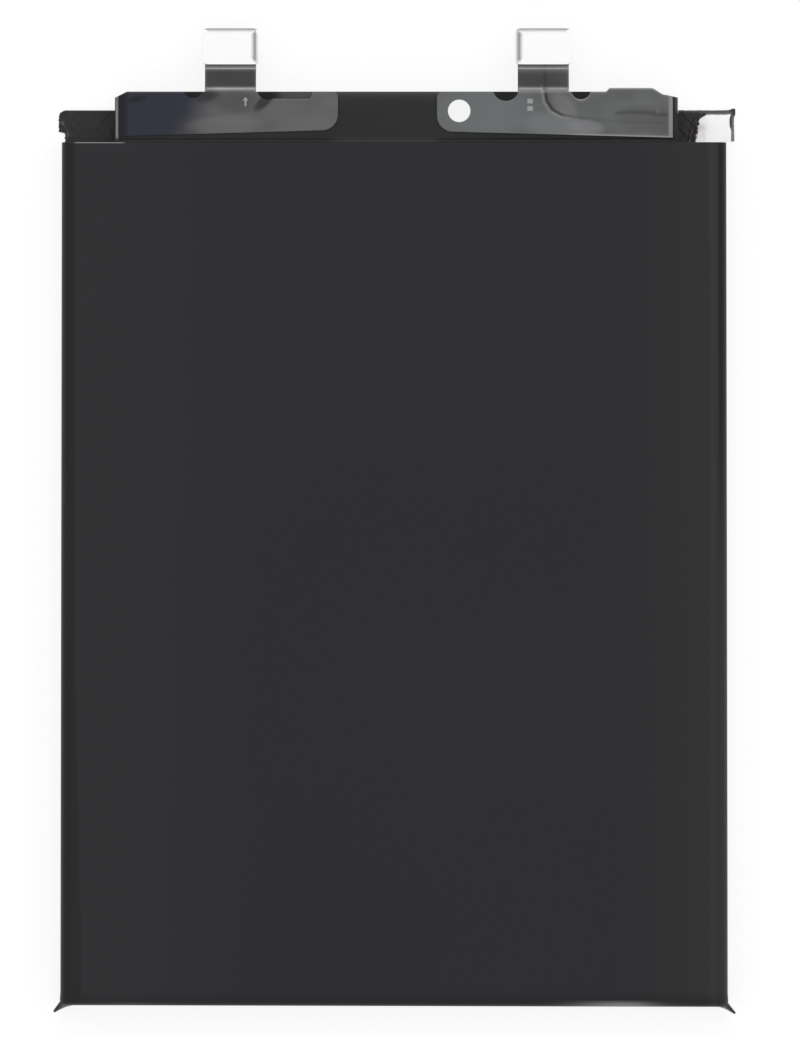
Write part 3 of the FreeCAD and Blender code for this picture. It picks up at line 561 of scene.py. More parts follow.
# A grid of places in millimetres as points and quads, with the values kept on the points: each cell is a quad
# between four neighbours; ring joins the last column to the first, keep leaves some cells out
def gridSurface(x, y, z, ring=False, keep=None, **kept):
    x, y, z = np.broadcast_arrays(x, y, z)
    index = np.arange(x.size).reshape(x.shape)
    if ring:
        index = np.concatenate([index, index[:, :1]], axis=1)
    quads = np.stack([index[:-1, :-1], index[:-1, 1:], index[1:, 1:], index[1:, :-1]], axis=-1)
    quads = quads.reshape(-1, 4) if keep is None else quads[keep]
    used, quads = np.unique(quads, return_inverse=True)
    points = np.stack([x, y, z], axis=-1).reshape(-1, 3)[used]
    values = {name: np.broadcast_to(value, x.shape).ravel()[used] for name, value in kept.items()}
    return points, quads.reshape(-1, 4), values


crispAngle = math.radians(35.0)
# Points closer than this are one: twice the step, 0.0001 mm, that places are rounded to
mergeDistance = 0.0002


# Turns a surface into a piece that stands in for a node, on the root body. Doubles are merged and faces point
# outwards, or upwards on an open sheet, whose first face tells for all; a wall grows inwards from them.
def makePiece(name, surface, slot, node, finish=None, wall=0.0, sheet=False):
    points, quads, kept = surface
    mesh = bpy.data.meshes.new(name)
    mesh.vertices.add(len(points))
    mesh.vertices.foreach_set("co", (points * mm).ravel())
    mesh.loops.add(quads.size)
    mesh.loops.foreach_set("vertex_index", quads.ravel())
    mesh.polygons.add(len(quads))
    mesh.polygons.foreach_set("loop_start", np.arange(0, quads.size, 4))
    for label, values in kept.items():
        mesh.attributes.new(label, "FLOAT", "POINT").data.foreach_set("value", values)
    mesh.update(calc_edges=True)
    form = bmesh.new()
    form.from_mesh(mesh)
    bmesh.ops.remove_doubles(form, verts=form.verts, dist=mergeDistance * mm)
    bmesh.ops.recalc_face_normals(form, faces=form.faces)
    form.faces.ensure_lookup_table()
    if (form.faces[0].normal.z if sheet else form.calc_volume(signed=True)) < 0:
        bmesh.ops.reverse_faces(form, faces=form.faces)
    form.to_mesh(mesh)
    form.free()
    mesh.polygons.foreach_set("use_smooth", np.ones(len(mesh.polygons), bool))
    mesh.set_sharp_from_angle(angle=crispAngle)
    mesh.materials.append(finishes[finish or slot])
    piece = bpy.data.objects.new(name, mesh)
    bpy.context.scene.collection.objects.link(piece)
    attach(piece, "root")
    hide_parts(node)
    if wall:
        solidify = piece.modifiers.new("wall", "SOLIDIFY")
        solidify.thickness = wall * mm
        solidify.offset = -1.0
    print("piece:", name, len(mesh.polygons), "faces")


# The film sleeve
film = {
    "earOut": 0.9,
    "frontRadius": 1.3,
    "backRadius": 0.4,
    "endRadius": 0.8,
    "cornerShare": 0.45,
    "rimRadius": 0.12,
    "wall": 0.07,
    "fineEnd": 4.5,
    "flare": 0.15,
    "skew": 0.17,
    "skewFrom": (20.0, 42.0),
    "swell": 0.035,
    "swellFrom": (-0.4, -0.05),
    "footFlare": 0.14,
    "footTall": 1.6,
    "earHeight": ((0.15, 1.9), (2.4, 4.3)),
}
ears = (
    {"tip": (-33.12, -42.78), "side": 0.16, "bottom": 2.9, "fade": 5.5},
    {"tip": (33.2, -42.78), "side": 0.14, "bottom": 2.6, "fade": 8.0},
)
filmTone = {
    "upFrom": (-1.5, -1.1),
    "lowEnd": (-42.0, 0.0),
    "lowRight": (-6.0, 18.0),
    "leftBend": 31.15,
    "leftWiden": 0.7,
    "leftSoft": (-0.05, 0.12),
    "leftShade": 0.65,
    "rightBend": (31.65, 31.8),
    "endBend": (40.7, 41.3),
    "endShade": (0.28, 0.24),
    "endShadeOver": (-12.0, 12.0),
    "glareAt": 22.3,
    "glareWide": (4.1, 2.8),
    "glareTall": 0.63,
    "glare": 1.5,
    "faintAt": -25.5,
    "faintWide": 3.0,
    "faint": (0.04, 0.12),
    "faintTall": (0.12, 0.42),
    "litFrom": (-1.2, -0.5),
    "line": 0.035,
    "highlightLineAt": 31.1,
    "highlightLineWide": 0.3,
    "lowHighlightLine": ((31.65, 31.9), (32.2, 32.45)),
}


# Rings across the cell, each a rounded rectangle drawn in by an inset; the insets round the rim and the
# bottom end and then close the end face along its middle line. Half a ring runs from the front's middle round
# one side to the back's middle, and its mirror image makes the other half.
def filmRings(half, start, top):
    end, rim, bend, backBend = -start, film["rimRadius"], film["endRadius"], film["backRadius"]
    quarter = np.linspace(0.0, math.pi / 2, 13)
    rimTurn, endTurn = quarter[::3], quarter[1:]
    fineFrom = end + film["fineEnd"]
    along = runs((start - rim, fineFrom, 84), (fineFrom, end + bend, 24))[1:]
    middle = np.linspace(bend, top / 2, 14)[1:]
    y = [start - rim + rim * np.cos(rimTurn), along, end + bend - bend * np.sin(endTurn), 0 * middle + end]
    inset = [rim - rim * np.sin(rimTurn), 0 * along, bend - bend * np.cos(endTurn), middle]
    y, inset = np.concatenate(y)[:, None], np.concatenate(inset)[:, None]

    narrow = np.where(inset < bend, inset * film["cornerShare"], inset - bend * (1 - film["cornerShare"]))
    risen = np.clip(end + backBend - y, 0.0, backBend)
    under = np.where(inset < rim + 1e-9, np.minimum(inset, backBend), 0.0) * (y > 0)
    under = under + backBend - np.sqrt(backBend**2 - risen**2)
    under = under + np.clip(inset - bend, 0.0, None) * (top / 2 - backBend) / (top / 2 - bend)
    wide, over = half - narrow, top - inset
    front = np.maximum(film["frontRadius"] - inset, 0.0)
    back = np.maximum(backBend - under, 0.0)
    face = np.sin(np.linspace(0.0, math.pi / 2, 49))
    arc = np.linspace(0.0, math.pi / 2, 11)[1:]
    side = np.linspace(0.0, 1.0, 15)[1:]
    xs = [
        (wide - front) * face,
        wide - front + front * np.sin(arc),
        wide + 0 * side,
        wide - back + back * np.cos(arc),
        (wide - back) * face[-2::-1],
    ]
    zs = [
        over + 0 * face,
        over - front + front * np.cos(arc),
        (over - front) + (under + back - over + front) * side,
        under + back - back * np.sin(arc),
        under + 0 * face[1:],
    ]
    x, z = np.hstack(xs), np.hstack(zs)
    x, z = np.hstack([x, -x[:, -2:0:-1]]), np.hstack([z, z[:, -2:0:-1]])
    return x, y + 0 * x, z


# How far each point is drawn out to an ear: most at the bottom corner, less the higher it lies up the side
# and the further in along the bottom, and only at the ears' height
def earPull(x, y, z, half, end):
    knee = film["endRadius"] * (1 - math.cos(math.pi / 4))
    upSide, inBottom = y - end, half - np.abs(x)
    pullX, pullY = 0 * x, 0 * x
    for ear in ears:
        tipX, tipY = ear["tip"]
        upShare = np.clip(1 - np.maximum(upSide - knee, 0.0) / ear["side"], 0.0, 1.0)
        inShare = np.clip(1 - np.maximum(inBottom - knee, 0.0) / ear["bottom"], 0.0, 1.0) ** ear["fade"]
        share = np.where(upSide > inBottom, upShare, inShare) * (x * tipX > 0) * band(z, *film["earHeight"])
        pullX = pullX + share * (tipX - math.copysign(half - knee * film["cornerShare"], tipX))
        pullY = pullY + share * (tipY - end - knee)
    return pullX, pullY


# Painted shade along the rounded bends at both sides and the bottom end; painted highlights where light runs
# along the bottom fold and along fine lines at the right; each tone is a product of soft steps and bells
def filmTones(x, y, z, end, top):
    tone = filmTone
    upSide = y - end
    lowEnd, lowRight = 1 - smooth(y, *tone["lowEnd"]), 1 - smooth(y, *tone["lowRight"])
    facesUp = smooth(z - top, *tone["upFrom"])
    fromBend = -x - tone["leftBend"] + tone["leftWiden"] * lowEnd
    leftBend = tone["leftShade"] * smooth(fromBend, *tone["leftSoft"])
    rightBend = smooth(x, *tone["rightBend"]) * (1 - lowRight)
    endBend = smooth(-y, *tone["endBend"]) * raised(tone["endShade"], smooth(x, *tone["endShadeOver"]))
    bend = np.max([leftBend, rightBend, endBend], axis=0) * facesUp
    glareWide = np.where(x < tone["glareAt"], *tone["glareWide"])
    glare = tone["glare"] * bell(x, tone["glareAt"], glareWide)
    glare = glare * np.clip(1 - upSide / tone["glareTall"], 0.0, 1.0)
    faint = raised(tone["faint"], bell(x, tone["faintAt"], tone["faintWide"]))
    lit = np.clip(glare + faint * (1 - smooth(upSide, *tone["faintTall"])), 0.0, 1.0)
    lit = lit * smooth(z - top, *tone["litFrom"])
    # Painted highlight lines: one where the right rounding begins, one low on the right
    lines = tone["line"] * (bell(x, tone["highlightLineAt"], tone["highlightLineWide"]) + lowRight * band(x, *tone["lowHighlightLine"]))
    return {"bend": bend, "lit": lit + lines * facesUp}


# The rings, with the front slightly swollen in two slow waves, the ears drawn out, and the whole flared and
# skewed a little towards the bottom end
def filmSurface():
    low, high = reach("wrap_film")
    half, start, top = high[0] - film["earOut"], high[1], high[2]
    end = -start
    x, y, z = filmRings(half, start, top)
    pullX, pullY = earPull(x, y, z, half, end)
    onFront = smooth(z - top, *film["swellFrom"])
    swell = np.sin(x * 0.11 + 0.6) * np.sin(y * 0.08 + 1.1) + 0.5 * np.sin(x * 0.23 - y * 0.15)
    z = z - film["swell"] * onFront * (1.5 + swell) / 3
    tones = filmTones(x, y, z, end, top)
    flare = film["flare"] * (start - y) / (start - end)
    foot = film["footFlare"] * np.clip(1 - (y - end) / film["footTall"], 0.0, 1.0) ** 2
    x = x * (1 + (flare + foot) / half) + pullX
    y = y - film["skew"] * (x / half + 1) / 2 * smooth(-y, *film["skewFrom"]) + pullY
    return gridSurface(x, y, z, ring=True, **tones)


makePiece("filmSleeve", filmSurface(), "black_film", "wrap_film", wall=film["wall"])


# The tape round the header. Painted highlights: strength, where they rise and fall across, where they rise
# along;
# limits given high first turn the rise round. Painted shade places: middle, half width, half depth.
headerLow, headerHigh = reach("header_tape")
leftEnd, rightEnd = headerLow[0], headerHigh[0]
header = {
    "round": 0.15,
    "wall": 0.045,
    "bevelRun": 1.2,
    "bevelDrop": 0.6,
    "bulgeOut": 0.36,
    "bulgeLeft": (20.7, 21.1),
    "bulgeRight": (25.1, 26.5),
    "rightDrop": (0.3, 0.58),
    "back": 42.21,
    "squeeze": 0.02,
    "clear": 0.025,
    "liftOnTerrace": 0.32,
    "liftUntil": (45.41, 46.41),
    "sink": 0.02,
    "creaseAt": 42.53,
    "creaseWide": 0.1,
    "rise": 0.38,
    "riseUntil": (42.21, 42.66),
    "lights": (
        (0.9, (leftEnd, leftEnd + 0.22), (leftEnd + 0.22, leftEnd + 0.42), (42.41, 42.81)),
        (0.15, (-11.6, -10.6), (-8.2, -7.6), (45.6, 46.0)),
        (0.055, (-7.0, -5.0), (3.5, 5.0), (42.71, 42.51)),
        (0.2, (rightEnd - 0.3, rightEnd - 0.15), (rightEnd + 1.0, rightEnd + 2.0), (45.2, 45.5)),
    ),
    "rimLight": 0.19,
    "rimRun": 0.3,
    "rimAcross": ((-5.8, -5.6), (4.3, 4.5)),
    "backShade": 0.45,
    "backShadeFrom": (5.0, 12.0),
    "backShadeAlong": ((42.26, 42.51), (43.0, 43.5)),
    "dark": ((-19.67, 0.8, 0.9), (-12.4, 0.75, 1.0), (10.93, 1.0, 1.2), (18.27, 0.8, 1.0)),
}


# The header's outer edge as a function of the place across: level, bevelled at the left, pushed out over the
# bulge, and falling away at the right
def headerEdge(x):
    level = headerHigh[1] - header["bulgeOut"]
    edge = level - header["bevelDrop"] * np.clip(1 - (x - leftEnd) / header["bevelRun"], 0.0, 1.0)
    bulge = band(x, header["bulgeLeft"], header["bulgeRight"])
    slope = np.interp(x, [header["bulgeRight"][1], rightEnd], header["rightDrop"])
    return edge + header["bulgeOut"] * bulge - slope * smooth(x, *header["bulgeRight"])


# A path from the back left corner round the outer edge to the back right corner, and the unit directions that
# point in from it
def headerPath():
    back = header["back"]
    front = runs((leftEnd, rightEnd, 300))
    edge = headerEdge(front)
    left = runs((back, edge[0], 26))[:-1]
    right = runs((edge[-1], back, 26))[1:]
    pathX = np.concatenate([0 * left + leftEnd, front, 0 * right + rightEnd])
    pathY = np.concatenate([left, edge, right])
    slopeX, slopeY = (evened(np.gradient(path), 9) for path in (pathX, pathY))
    size = np.hypot(slopeX, slopeY)
    inX, inY = slopeY / size, -slopeX / size
    inY[0] = inY[-1] = 0.0
    return pathX, pathY, inX, inY


# Painted highlights and painted shade on the header's top: highlights are bands, shade places are flat-topped
# bells
def headerTones(x, y, onTop):
    inward = headerEdge(x) - y
    lights = [
        strength * band(x, rise, fall) * smooth(y, *along)
        for strength, rise, fall, along in header["lights"]
    ]
    rimLight = header["rimLight"] * np.exp(-inward / header["rimRun"]) * band(x, *header["rimAcross"])
    scuff = np.max([*lights, rimLight], axis=0)
    shades = [
        bell(x, middle, wide, power=4) * bell(inward, 0.0, deep, power=4)
        for middle, wide, deep in header["dark"]
    ]
    backShade = smooth(x, *header["backShadeFrom"]) * band(y, *header["backShadeAlong"])
    shade = np.max([*shades, header["backShade"] * backShade], axis=0)
    top = onTop > 0.9
    return {"scuff": np.clip(scuff * top, 0, 1), "shade": shade * top}


# The path carried up a height profile: under the terrace, round the lower edge, up the wall, round the upper
# edge and in over the top. Each stretch gives the inset from the path, the share of the way to the back edge,
# the height as a share of the wall's, and how far the rounding bows up or down.
def headerSurface():
    low, high, back, radius = headerLow, headerHigh, header["back"], header["round"]
    pathX, pathY, inX, inY = headerPath()
    arc = np.linspace(0.0, math.pi / 2, 8)
    spread = np.linspace(0.0, 1.0, 26)[1:]
    wall = np.linspace(0.0, 1.0, 14)[1:-1]
    still, sine, cosine = 0 * spread, radius * np.sin(arc), radius * np.cos(arc)
    stretches = [
        (still + radius, spread[::-1], still, still),
        (radius - sine, 0 * arc, 0 * arc, radius - cosine),
        (0 * wall, 0 * wall, wall, 0 * wall),
        (radius - cosine, 0 * arc, 0 * arc + 1, sine - radius),
        (still + radius, spread, still + 1, still),
    ]
    inset, share, onTop, bow = np.hstack(stretches)[..., None]
    lift = np.where(np.abs(inY) > 0.5, 0.0, 1 - smooth(pathY, *header["liftUntil"])) * header["liftOnTerrace"]
    floor = low[2] + header["clear"] + lift
    z = floor + bow + (high[2] - floor) * onTop
    z = np.where((onTop > 0) & (onTop < 1), floor + radius + (high[2] - floor - 2 * radius) * onTop, z)
    centre = (leftEnd + rightEnd) / 2
    x = centre + (pathX + inX * inset - centre) * (1 - share * header["squeeze"])
    y = back + (pathY + inY * inset - back) * (1 - share)
    sag = np.sin(x * 0.9 + 1.0) * np.sin(y * 1.7 + x * 0.3) * 0.5 + 0.5
    crease = bell(y, header["creaseAt"], header["creaseWide"])
    z = z - header["sink"] * (onTop == 1) * share * (0.6 * sag + crease)
    z = z + header["rise"] * onTop * (1 - smooth(y, *header["riseUntil"]))
    return gridSurface(x, y, z, **headerTones(x, y, onTop))


makePiece("headerTape", headerSurface(), "black_tape", "header_tape", wall=header["wall"])


# Tapes on the terrace
terrace = {"top": 0.36, "bottom": 0.02, "joint": 27.33, "foot": 42.25, "head": 45.39, "wall": 0.05}
leftTape = {
    "end": -32.92,
    "cornerRadius": 0.7,
    "notch": (43.1, 43.3, 0.6),
    "jag": 0.05,
    "crease": 0.1,
    "creasedTo": (-32.2, -30.5),
    "endRound": 0.3,
    "gloss": 0.22,
    "glossTo": (-32.3, -31.4),
}
rightTape = {
    "start": 27.8,
    "edge": ((42.2, 43.6, 44.5, 44.75, 44.98), (29.5, 29.72, 29.95, 30.28, 30.6)),
    "top": 45.1,
    "jag": 0.1,
    "crease": 0.16,
    "gather": (0.2, 1.3),
    "edgeDip": 0.05,
    "gloss": 0.6,
}
rimTape = {
    "wide": 0.46,
    "path": (
        (27.8, 45.18), (30.5, 45.16), (32.6, 45.17), (33.05, 45.24), (33.3, 45.26),
        (33.14, 44.9), (33.07, 44.5), (33.07, 43.9), (33.17, 43.4), (33.17, 42.3),
    ),
    "flag": (33.28, 45.26),
    "flagWide": 0.25,
    "flagReach": (0.244949, 0.34641),
    "flagDark": 0.9,
    "narrow": 0.25,
    "ripple": 0.06,
    "furthest": 33.44,
    "crease": 0.03,
    "open": (29.6, 30.2),
    "side": (-45.0, -44.7),
    "low": (-43.9, -43.5),
    "coveredLight": (0.04, 0.2),
    "openLight": (0.19, 0.45),
    "sideLight": (0.15, 0.5),
    "lowLight": 0.6,
    "foldLight": (0.85, 0.3),
}


# Heights of crumpled tape: folded waves in three directions, each bent by a wave of its own
def crumple(x, y, fine=1.0):
    first = np.abs(np.sin(2.1 * fine * x + 1.3 * np.sin(1.7 * fine * y + 0.5 * x)))
    second = np.abs(np.sin(2.7 * fine * y - 1.1 * fine * x + 1.2 * np.sin(2.3 * fine * x)))
    third = np.abs(np.sin(4.3 * fine * x + 3.1 * fine * y + 0.9 * np.sin(3.7 * fine * y)))
    return (0.5 * (1 - first) ** 1.5 + 0.35 * (1 - second) ** 1.5 + 0.15 * third) * 1.2


# The left tape wraps the terrace's end: under it, round its outer edge and back over the top. Rows go round
# this wrap and columns run from the ragged left end, rounded at its corner and notched, to the header.
def leftTapeSurface():
    foot, head, top, bottom = (terrace[key] for key in ("foot", "head", "top", "bottom"))
    radius, middle = (top - bottom) / 2, (top + bottom) / 2
    turn = np.linspace(-math.pi / 2, math.pi / 2, 13)[1:-1]
    run = foot + (head - radius - foot) * np.linspace(0.0, 1.0, 60)
    y = np.concatenate([run, head - radius + radius * np.cos(turn), run[::-1]])[:, None]
    z = np.concatenate([0 * run + bottom, middle + radius * np.sin(turn), 0 * run + top])[:, None]
    corner = leftTape["cornerRadius"]
    above = np.clip(y - (head - corner), 0.0, corner)
    end = leftTape["end"] + corner - np.sqrt(corner**2 - above**2)
    low, high, deep = leftTape["notch"]
    end = end + deep * (1 - smooth(y, low, high))
    end = end + leftTape["jag"] * (np.abs(np.sin(5.3 * y)) + np.abs(np.sin(9.1 * y + 1)))
    across = np.concatenate([1 - np.cos(np.linspace(0, math.pi / 2, 16))[:-1], np.linspace(1, 15, 110)])
    x = end + (-terrace["joint"] - end) * across / across[-1]
    roundOff = np.sqrt(1 - (1 - np.clip((x - end) / leftTape["endRound"], 0.0, 1.0)) ** 2)
    z = middle + (z - middle) * roundOff
    onTop = smooth(z, middle, top)
    ridges = crumple(x * 1.2, y * 1.1) * (0.35 + 0.65 * (1 - smooth(x, *leftTape["creasedTo"])))
    z = z + leftTape["crease"] * ridges * onTop * smooth(y, foot, foot + 0.5)
    # Painted highlights on the crumpled ridges near the left end
    gloss = smooth(ridges, 0.5, 0.9) * onTop * (1 - smooth(x, *leftTape["glossTo"]))
    return gridSurface(x, y, z, scuff=leftTape["gloss"] * gloss)


# The right patch: rows along the terrace, columns from the header to its torn edge, gathered in folds there
def rightPatchSurface():
    y = np.linspace(terrace["foot"], rightTape["top"], 110)[:, None]
    edge = np.interp(y, *rightTape["edge"]) + 0.05 * np.sin(1.9 * y + 0.8)
    edge = edge + rightTape["jag"] * (np.abs(np.sin(4.1 * y)) - np.abs(np.sin(7.3 * y + 2)))
    x = rightTape["start"] + (edge - rightTape["start"]) * np.linspace(0.0, 1.0, 90)
    inward = edge - x
    near = 1 - smooth(inward, *rightTape["gather"])
    waves = np.abs(np.sin(6.5 * inward + 1.6 * np.sin(2.6 * y) + 0.8 * np.sin(5.9 * y)))
    folds = 0.6 * (1 - waves) + 0.4 * crumple(x, y, 1.5)
    dip = rightTape["edgeDip"] * (1 - smooth(inward, 0.0, 0.1))
    z = terrace["top"] + rightTape["crease"] * folds * near - dip
    # Painted highlights on the folds near the torn edge
    gloss = smooth(folds, 0.45, 0.8) * near * (0.4 + 0.6 * np.abs(np.sin(3.3 * y + 1.2 * x)))
    return gridSurface(x, y, z, scuff=rightTape["gloss"] * gloss)


# A tube's rings with both ends closed, each at the middle of its last ring
def closedEnds(rings):
    first, last = (ring.mean() + 0 * ring for ring in (rings[:1], rings[-1:]))
    return np.concatenate([first, rings, last])


# The narrow strip round the terrace's rim: a flattened ring carried along its path, wider at the corner flag,
# lit on its outer or inner side
def rimTapeSurface():
    places = np.array(rimTape["path"])
    gone = np.concatenate([[0.0], np.cumsum(np.hypot(*np.diff(places, axis=0).T))])
    steps = np.linspace(0.0, gone[-1], 220)
    pathX, pathY = (evened(np.interp(steps, gone, places[:, axis]), 15) for axis in range(2))
    slopeX, slopeY = np.gradient(pathX), np.gradient(pathY)
    size = np.hypot(slopeX, slopeY)
    flagX, flagY = rimTape["flag"]
    wideReach, darkReach = rimTape["flagReach"]
    flag = bell(np.hypot(pathX - flagX, pathY - flagY), 0.0, wideReach)
    half = (rimTape["wide"] + rimTape["flagWide"] * flag) / 2
    half = half * (1 - rimTape["narrow"] * smooth(-pathY, *rimTape["low"]))
    half = half * (1 + rimTape["ripple"] * np.sin(steps * 5.1) * np.sin(steps * 2.3))
    turn = np.linspace(0.0, 2 * math.pi, 25)[:-1]
    sideways = np.sqrt(np.abs(np.cos(turn))) * np.sign(np.cos(turn))
    x = pathX[:, None] + (slopeY / size * half)[:, None] * sideways
    y = pathY[:, None] - (slopeX / size * half)[:, None] * sideways
    middle, tall = (terrace["top"] + terrace["bottom"]) / 2, (terrace["top"] - terrace["bottom"]) / 2
    folds = crumple(x, y, 1.6)
    z = middle + (tall + rimTape["crease"] * folds * (np.sin(turn) > 0)) * np.sin(turn)
    x = np.minimum(x, rimTape["furthest"])
    flag = bell(np.hypot(x - flagX, y - flagY), 0.0, darkReach)
    inner, outer = smooth(sideways, 0.0, 0.8), smooth(-sideways, 0.0, 0.8)
    isOpen = smooth(x, *rimTape["open"])
    isSide, isLow = smooth(-y, *rimTape["side"]), smooth(-y, *rimTape["low"])
    # Painted highlights along the strip's outer or inner side, weaker at the flag
    along = raised(rimTape["coveredLight"], outer) * (1 - isOpen)
    along = along + raised(rimTape["openLight"], inner) * isOpen
    upright = raised(rimTape["sideLight"], outer) * (1 - isLow) + rimTape["lowLight"] * isLow
    scuff = (along * (1 - isSide) + upright * isSide) * raised(rimTape["foldLight"], folds)
    scuff = scuff * (1 - rimTape["flagDark"] * flag) * (z > middle)
    scuff = np.concatenate([scuff[:1], scuff, scuff[-1:]])
    return gridSurface(closedEnds(x), closedEnds(y), closedEnds(z), ring=True, scuff=scuff)


tapePieces = (
    ("leftTerraceTape", leftTapeSurface(), "left_terrace_tape", "end_tape", terrace["wall"], False),
    ("rightTerraceTape", rightPatchSurface(), "right_terrace_tape", "crumpled_tape", terrace["wall"], True),
    ("rightRimTape", rimTapeSurface(), "right_terrace_tape", "end_tape", 0.0, False),
)
for name, surface, node, finish, wall, sheet in tapePieces:
    makePiece(name, surface, "black_tape", node, finish=finish, wall=wall, sheet=sheet)


# The flexible circuits, each a strip and a tail in one sheet. Notches: radius and depth, left one first.
# Bend: where the tail starts to slope, and the half width of the light there. Lines: strength, half width and
# places.
flex = {
    "thick": 0.18,
    "tailWidth": 5.0,
    "notchSpacing": 7.34,
    "innerRadius": 1.5,
    "innerTop": 0.5,
    "tilt": 0.62,
    "upperRadius": 0.9,
    "lowerRadius": 0.5,
    "slope": 37.0,
    "fall": 1.5,
    "edgeDrop": 0.035,
    "edgeWidth": 0.16,
    "paleWidth": 0.14,
    "endFade": (0.28, 0.5),
    "recess": 0.7,
    "landing": 49.46,
    "landingUpper": 0.15,
    "landingLight": 0.9,
    "bendLight": 0.45,
    "bendBefore": 0.2,
    "ridgeTall": 0.4,
    "ridgeLight": 0.4,
    "grooveDark": 0.85,
}
leftFlex = {
    "lift": 0.14,
    "beyond": 0.0,
    "paleEnd": 0.0,
    "depth": 0.02,
    "recess": ((-12.2, -11.9), (-8.3, -7.9)),
    "notches": ((1.05, 0.62), (1.1, 0.8)),
    "bend": (47.37, 0.19),
    "landingLower": 0.24,
    "track": (0.5, 0.1, ((-12.3, 46.55), (-8.3, 46.6))),
    "paleTail": 0.25,
    "paleAbove": (47.0, 47.3),
}
rightFlex = {
    "lift": 0.0,
    "beyond": 0.15,
    "paleEnd": 0.62,
    "depth": 0.04,
    "recess": None,
    "notches": ((1.3, 0.92), (0.98, 0.76)),
    "bend": (47.23, 0.25),
    "landingLower": 0.35,
    "groove": ((14.75, 53.0), (14.75, 47.3), (14.95, 46.2), (15.5, 45.35), (16.5, 44.8), (18.3, 44.55)),
    "grooveWide": 0.15,
    "grooveFade": ((0.7, (16.0, 18.2)), (0.6, (47.3, 47.9))),
    "ridgeOffset": (-0.3, -0.12),
    "ridgeWide": 0.13,
    "ridgeEnd": (48.0, 47.2),
    "track": (0.2, 0.1, ((18.3, 44.55), (22.0, 44.2), (26.4, 44.1))),
    "faint": (0.42, 0.18, ((21.8, 45.06), (22.9, 45.13), (24.4, 45.1), (25.6, 44.96), (26.6, 44.83))),
    "pad": (25.78, 45.28),
    "padSoft": (0.1, 0.2),
    "padLight": 0.3,
    "paleFrom": (16.0, 18.5),
    "paleGap": ((46.0, 46.6), (47.0, 47.3)),
}


# Where the notches bite into the strip's outer edge: middle, half width there, radius and depth
def notchPlaces(centre, look):
    places = []
    for sign, (radius, deep) in zip((-1, 1), look["notches"]):
        bite = math.sqrt(radius**2 - (radius - deep) ** 2)
        places.append((centre + sign * flex["notchSpacing"] / 2, bite, radius, deep))
    return places


# Columns across the strip: even ones, the tail's two sides, and closer ones at its rounded end and in its
# notches
def stripColumns(inner, towards, low, high, centre, notches):
    fine = 1 - np.cos(np.linspace(0.0, math.pi / 2, 14))
    swing = np.sin(np.linspace(-math.pi / 2, math.pi / 2, 17))
    half = flex["tailWidth"] / 2
    columns = [np.linspace(low[0], high[0], 230), [centre - half, centre + half]]
    columns += [inner + towards * radius * fine for radius in (flex["innerRadius"], flex["innerTop"])]
    columns += [middle + bite * swing for middle, bite, radius, deep in notches]
    return np.unique(np.round(np.concatenate(columns), 4))


# The strip's two long edges as functions of the place across: the lower one tilted, both rounded at the inner
# end, and the upper one recessed and notched
def stripEdges(x, inner, outer, foot, look, notches):
    long = np.abs(inner - outer)
    lower = foot + look["lift"] + flex["tilt"] * (x - outer) / (inner - outer)
    radius = flex["innerRadius"]
    gone = np.clip(np.abs(x - outer) - (long - radius), 0.0, radius)
    lower = lower + radius - np.sqrt(radius**2 - gone**2)
    radius = flex["innerTop"]
    gone = np.clip(np.abs(x - outer) - (long - radius), 0.0, radius)
    upper = headerEdge(x) - radius + np.sqrt(radius**2 - gone**2)
    if look["recess"]:
        upper = upper - flex["recess"] * band(x, *look["recess"])
    for middle, bite, radius, deep in notches:
        inside = np.clip(np.abs(x - middle), 0.0, bite)
        cut = headerEdge(middle) + radius - deep - np.sqrt(radius**2 - inside**2)
        upper = np.where(np.abs(x - middle) < bite, np.minimum(upper, cut), upper)
    return lower, upper


# Rows down the tail: its top face bends down round the upper radius, slopes, bends back round the lower
# radius and runs level under the plate
def tailPath(start, end, top):
    turn = math.radians(flex["slope"])
    upper, lower = flex["upperRadius"], flex["lowerRadius"]
    drop = flex["fall"] - (upper + lower) * (1 - math.cos(turn))
    bend = np.linspace(0.0, turn, 15)
    along = [start + upper * np.sin(bend)]
    height = [top - upper * (1 - np.cos(bend))]
    share = np.linspace(0.0, 1.0, 13)[1:]
    along.append(along[0][-1] + share * drop / math.tan(turn))
    height.append(height[0][-1] - share * drop)
    back = turn - bend[1:]
    along.append(along[1][-1] + lower * (math.sin(turn) - np.sin(back)))
    height.append(height[1][-1] - lower * (np.cos(back) - math.cos(turn)))
    along.append(along[2][-1] + np.linspace(0.0, 1.0, 25)[1:] * (end - along[2][-1]))
    height.append(0 * along[3] + height[2][-1])
    return np.concatenate(along), np.concatenate(height)


# A soft line: its strength times a bell over the distance to the nearest stretch between its places
def line(x, y, strength, wide, places):
    nearest = np.full(x.shape, np.inf)
    for (ax, ay), (bx, by) in zip(places, places[1:]):
        lengthSquared = (bx - ax) ** 2 + (by - ay) ** 2
        share = np.clip(((x - ax) * (bx - ax) + (y - ay) * (by - ay)) / lengthSquared, 0.0, 1.0)
        nearest = np.minimum(nearest, np.hypot(x - ax - share * (bx - ax), y - ay - share * (by - ay)))
    return strength * bell(nearest, 0.0, wide)


# Left strip: painted shade along a short track in its recess, no ridge, and pale edges on the tail alone
def leftLines(x, y):
    look = leftFlex
    return line(x, y, *look["track"]), 0 * x, look["paleTail"] * smooth(y, *look["paleAbove"])


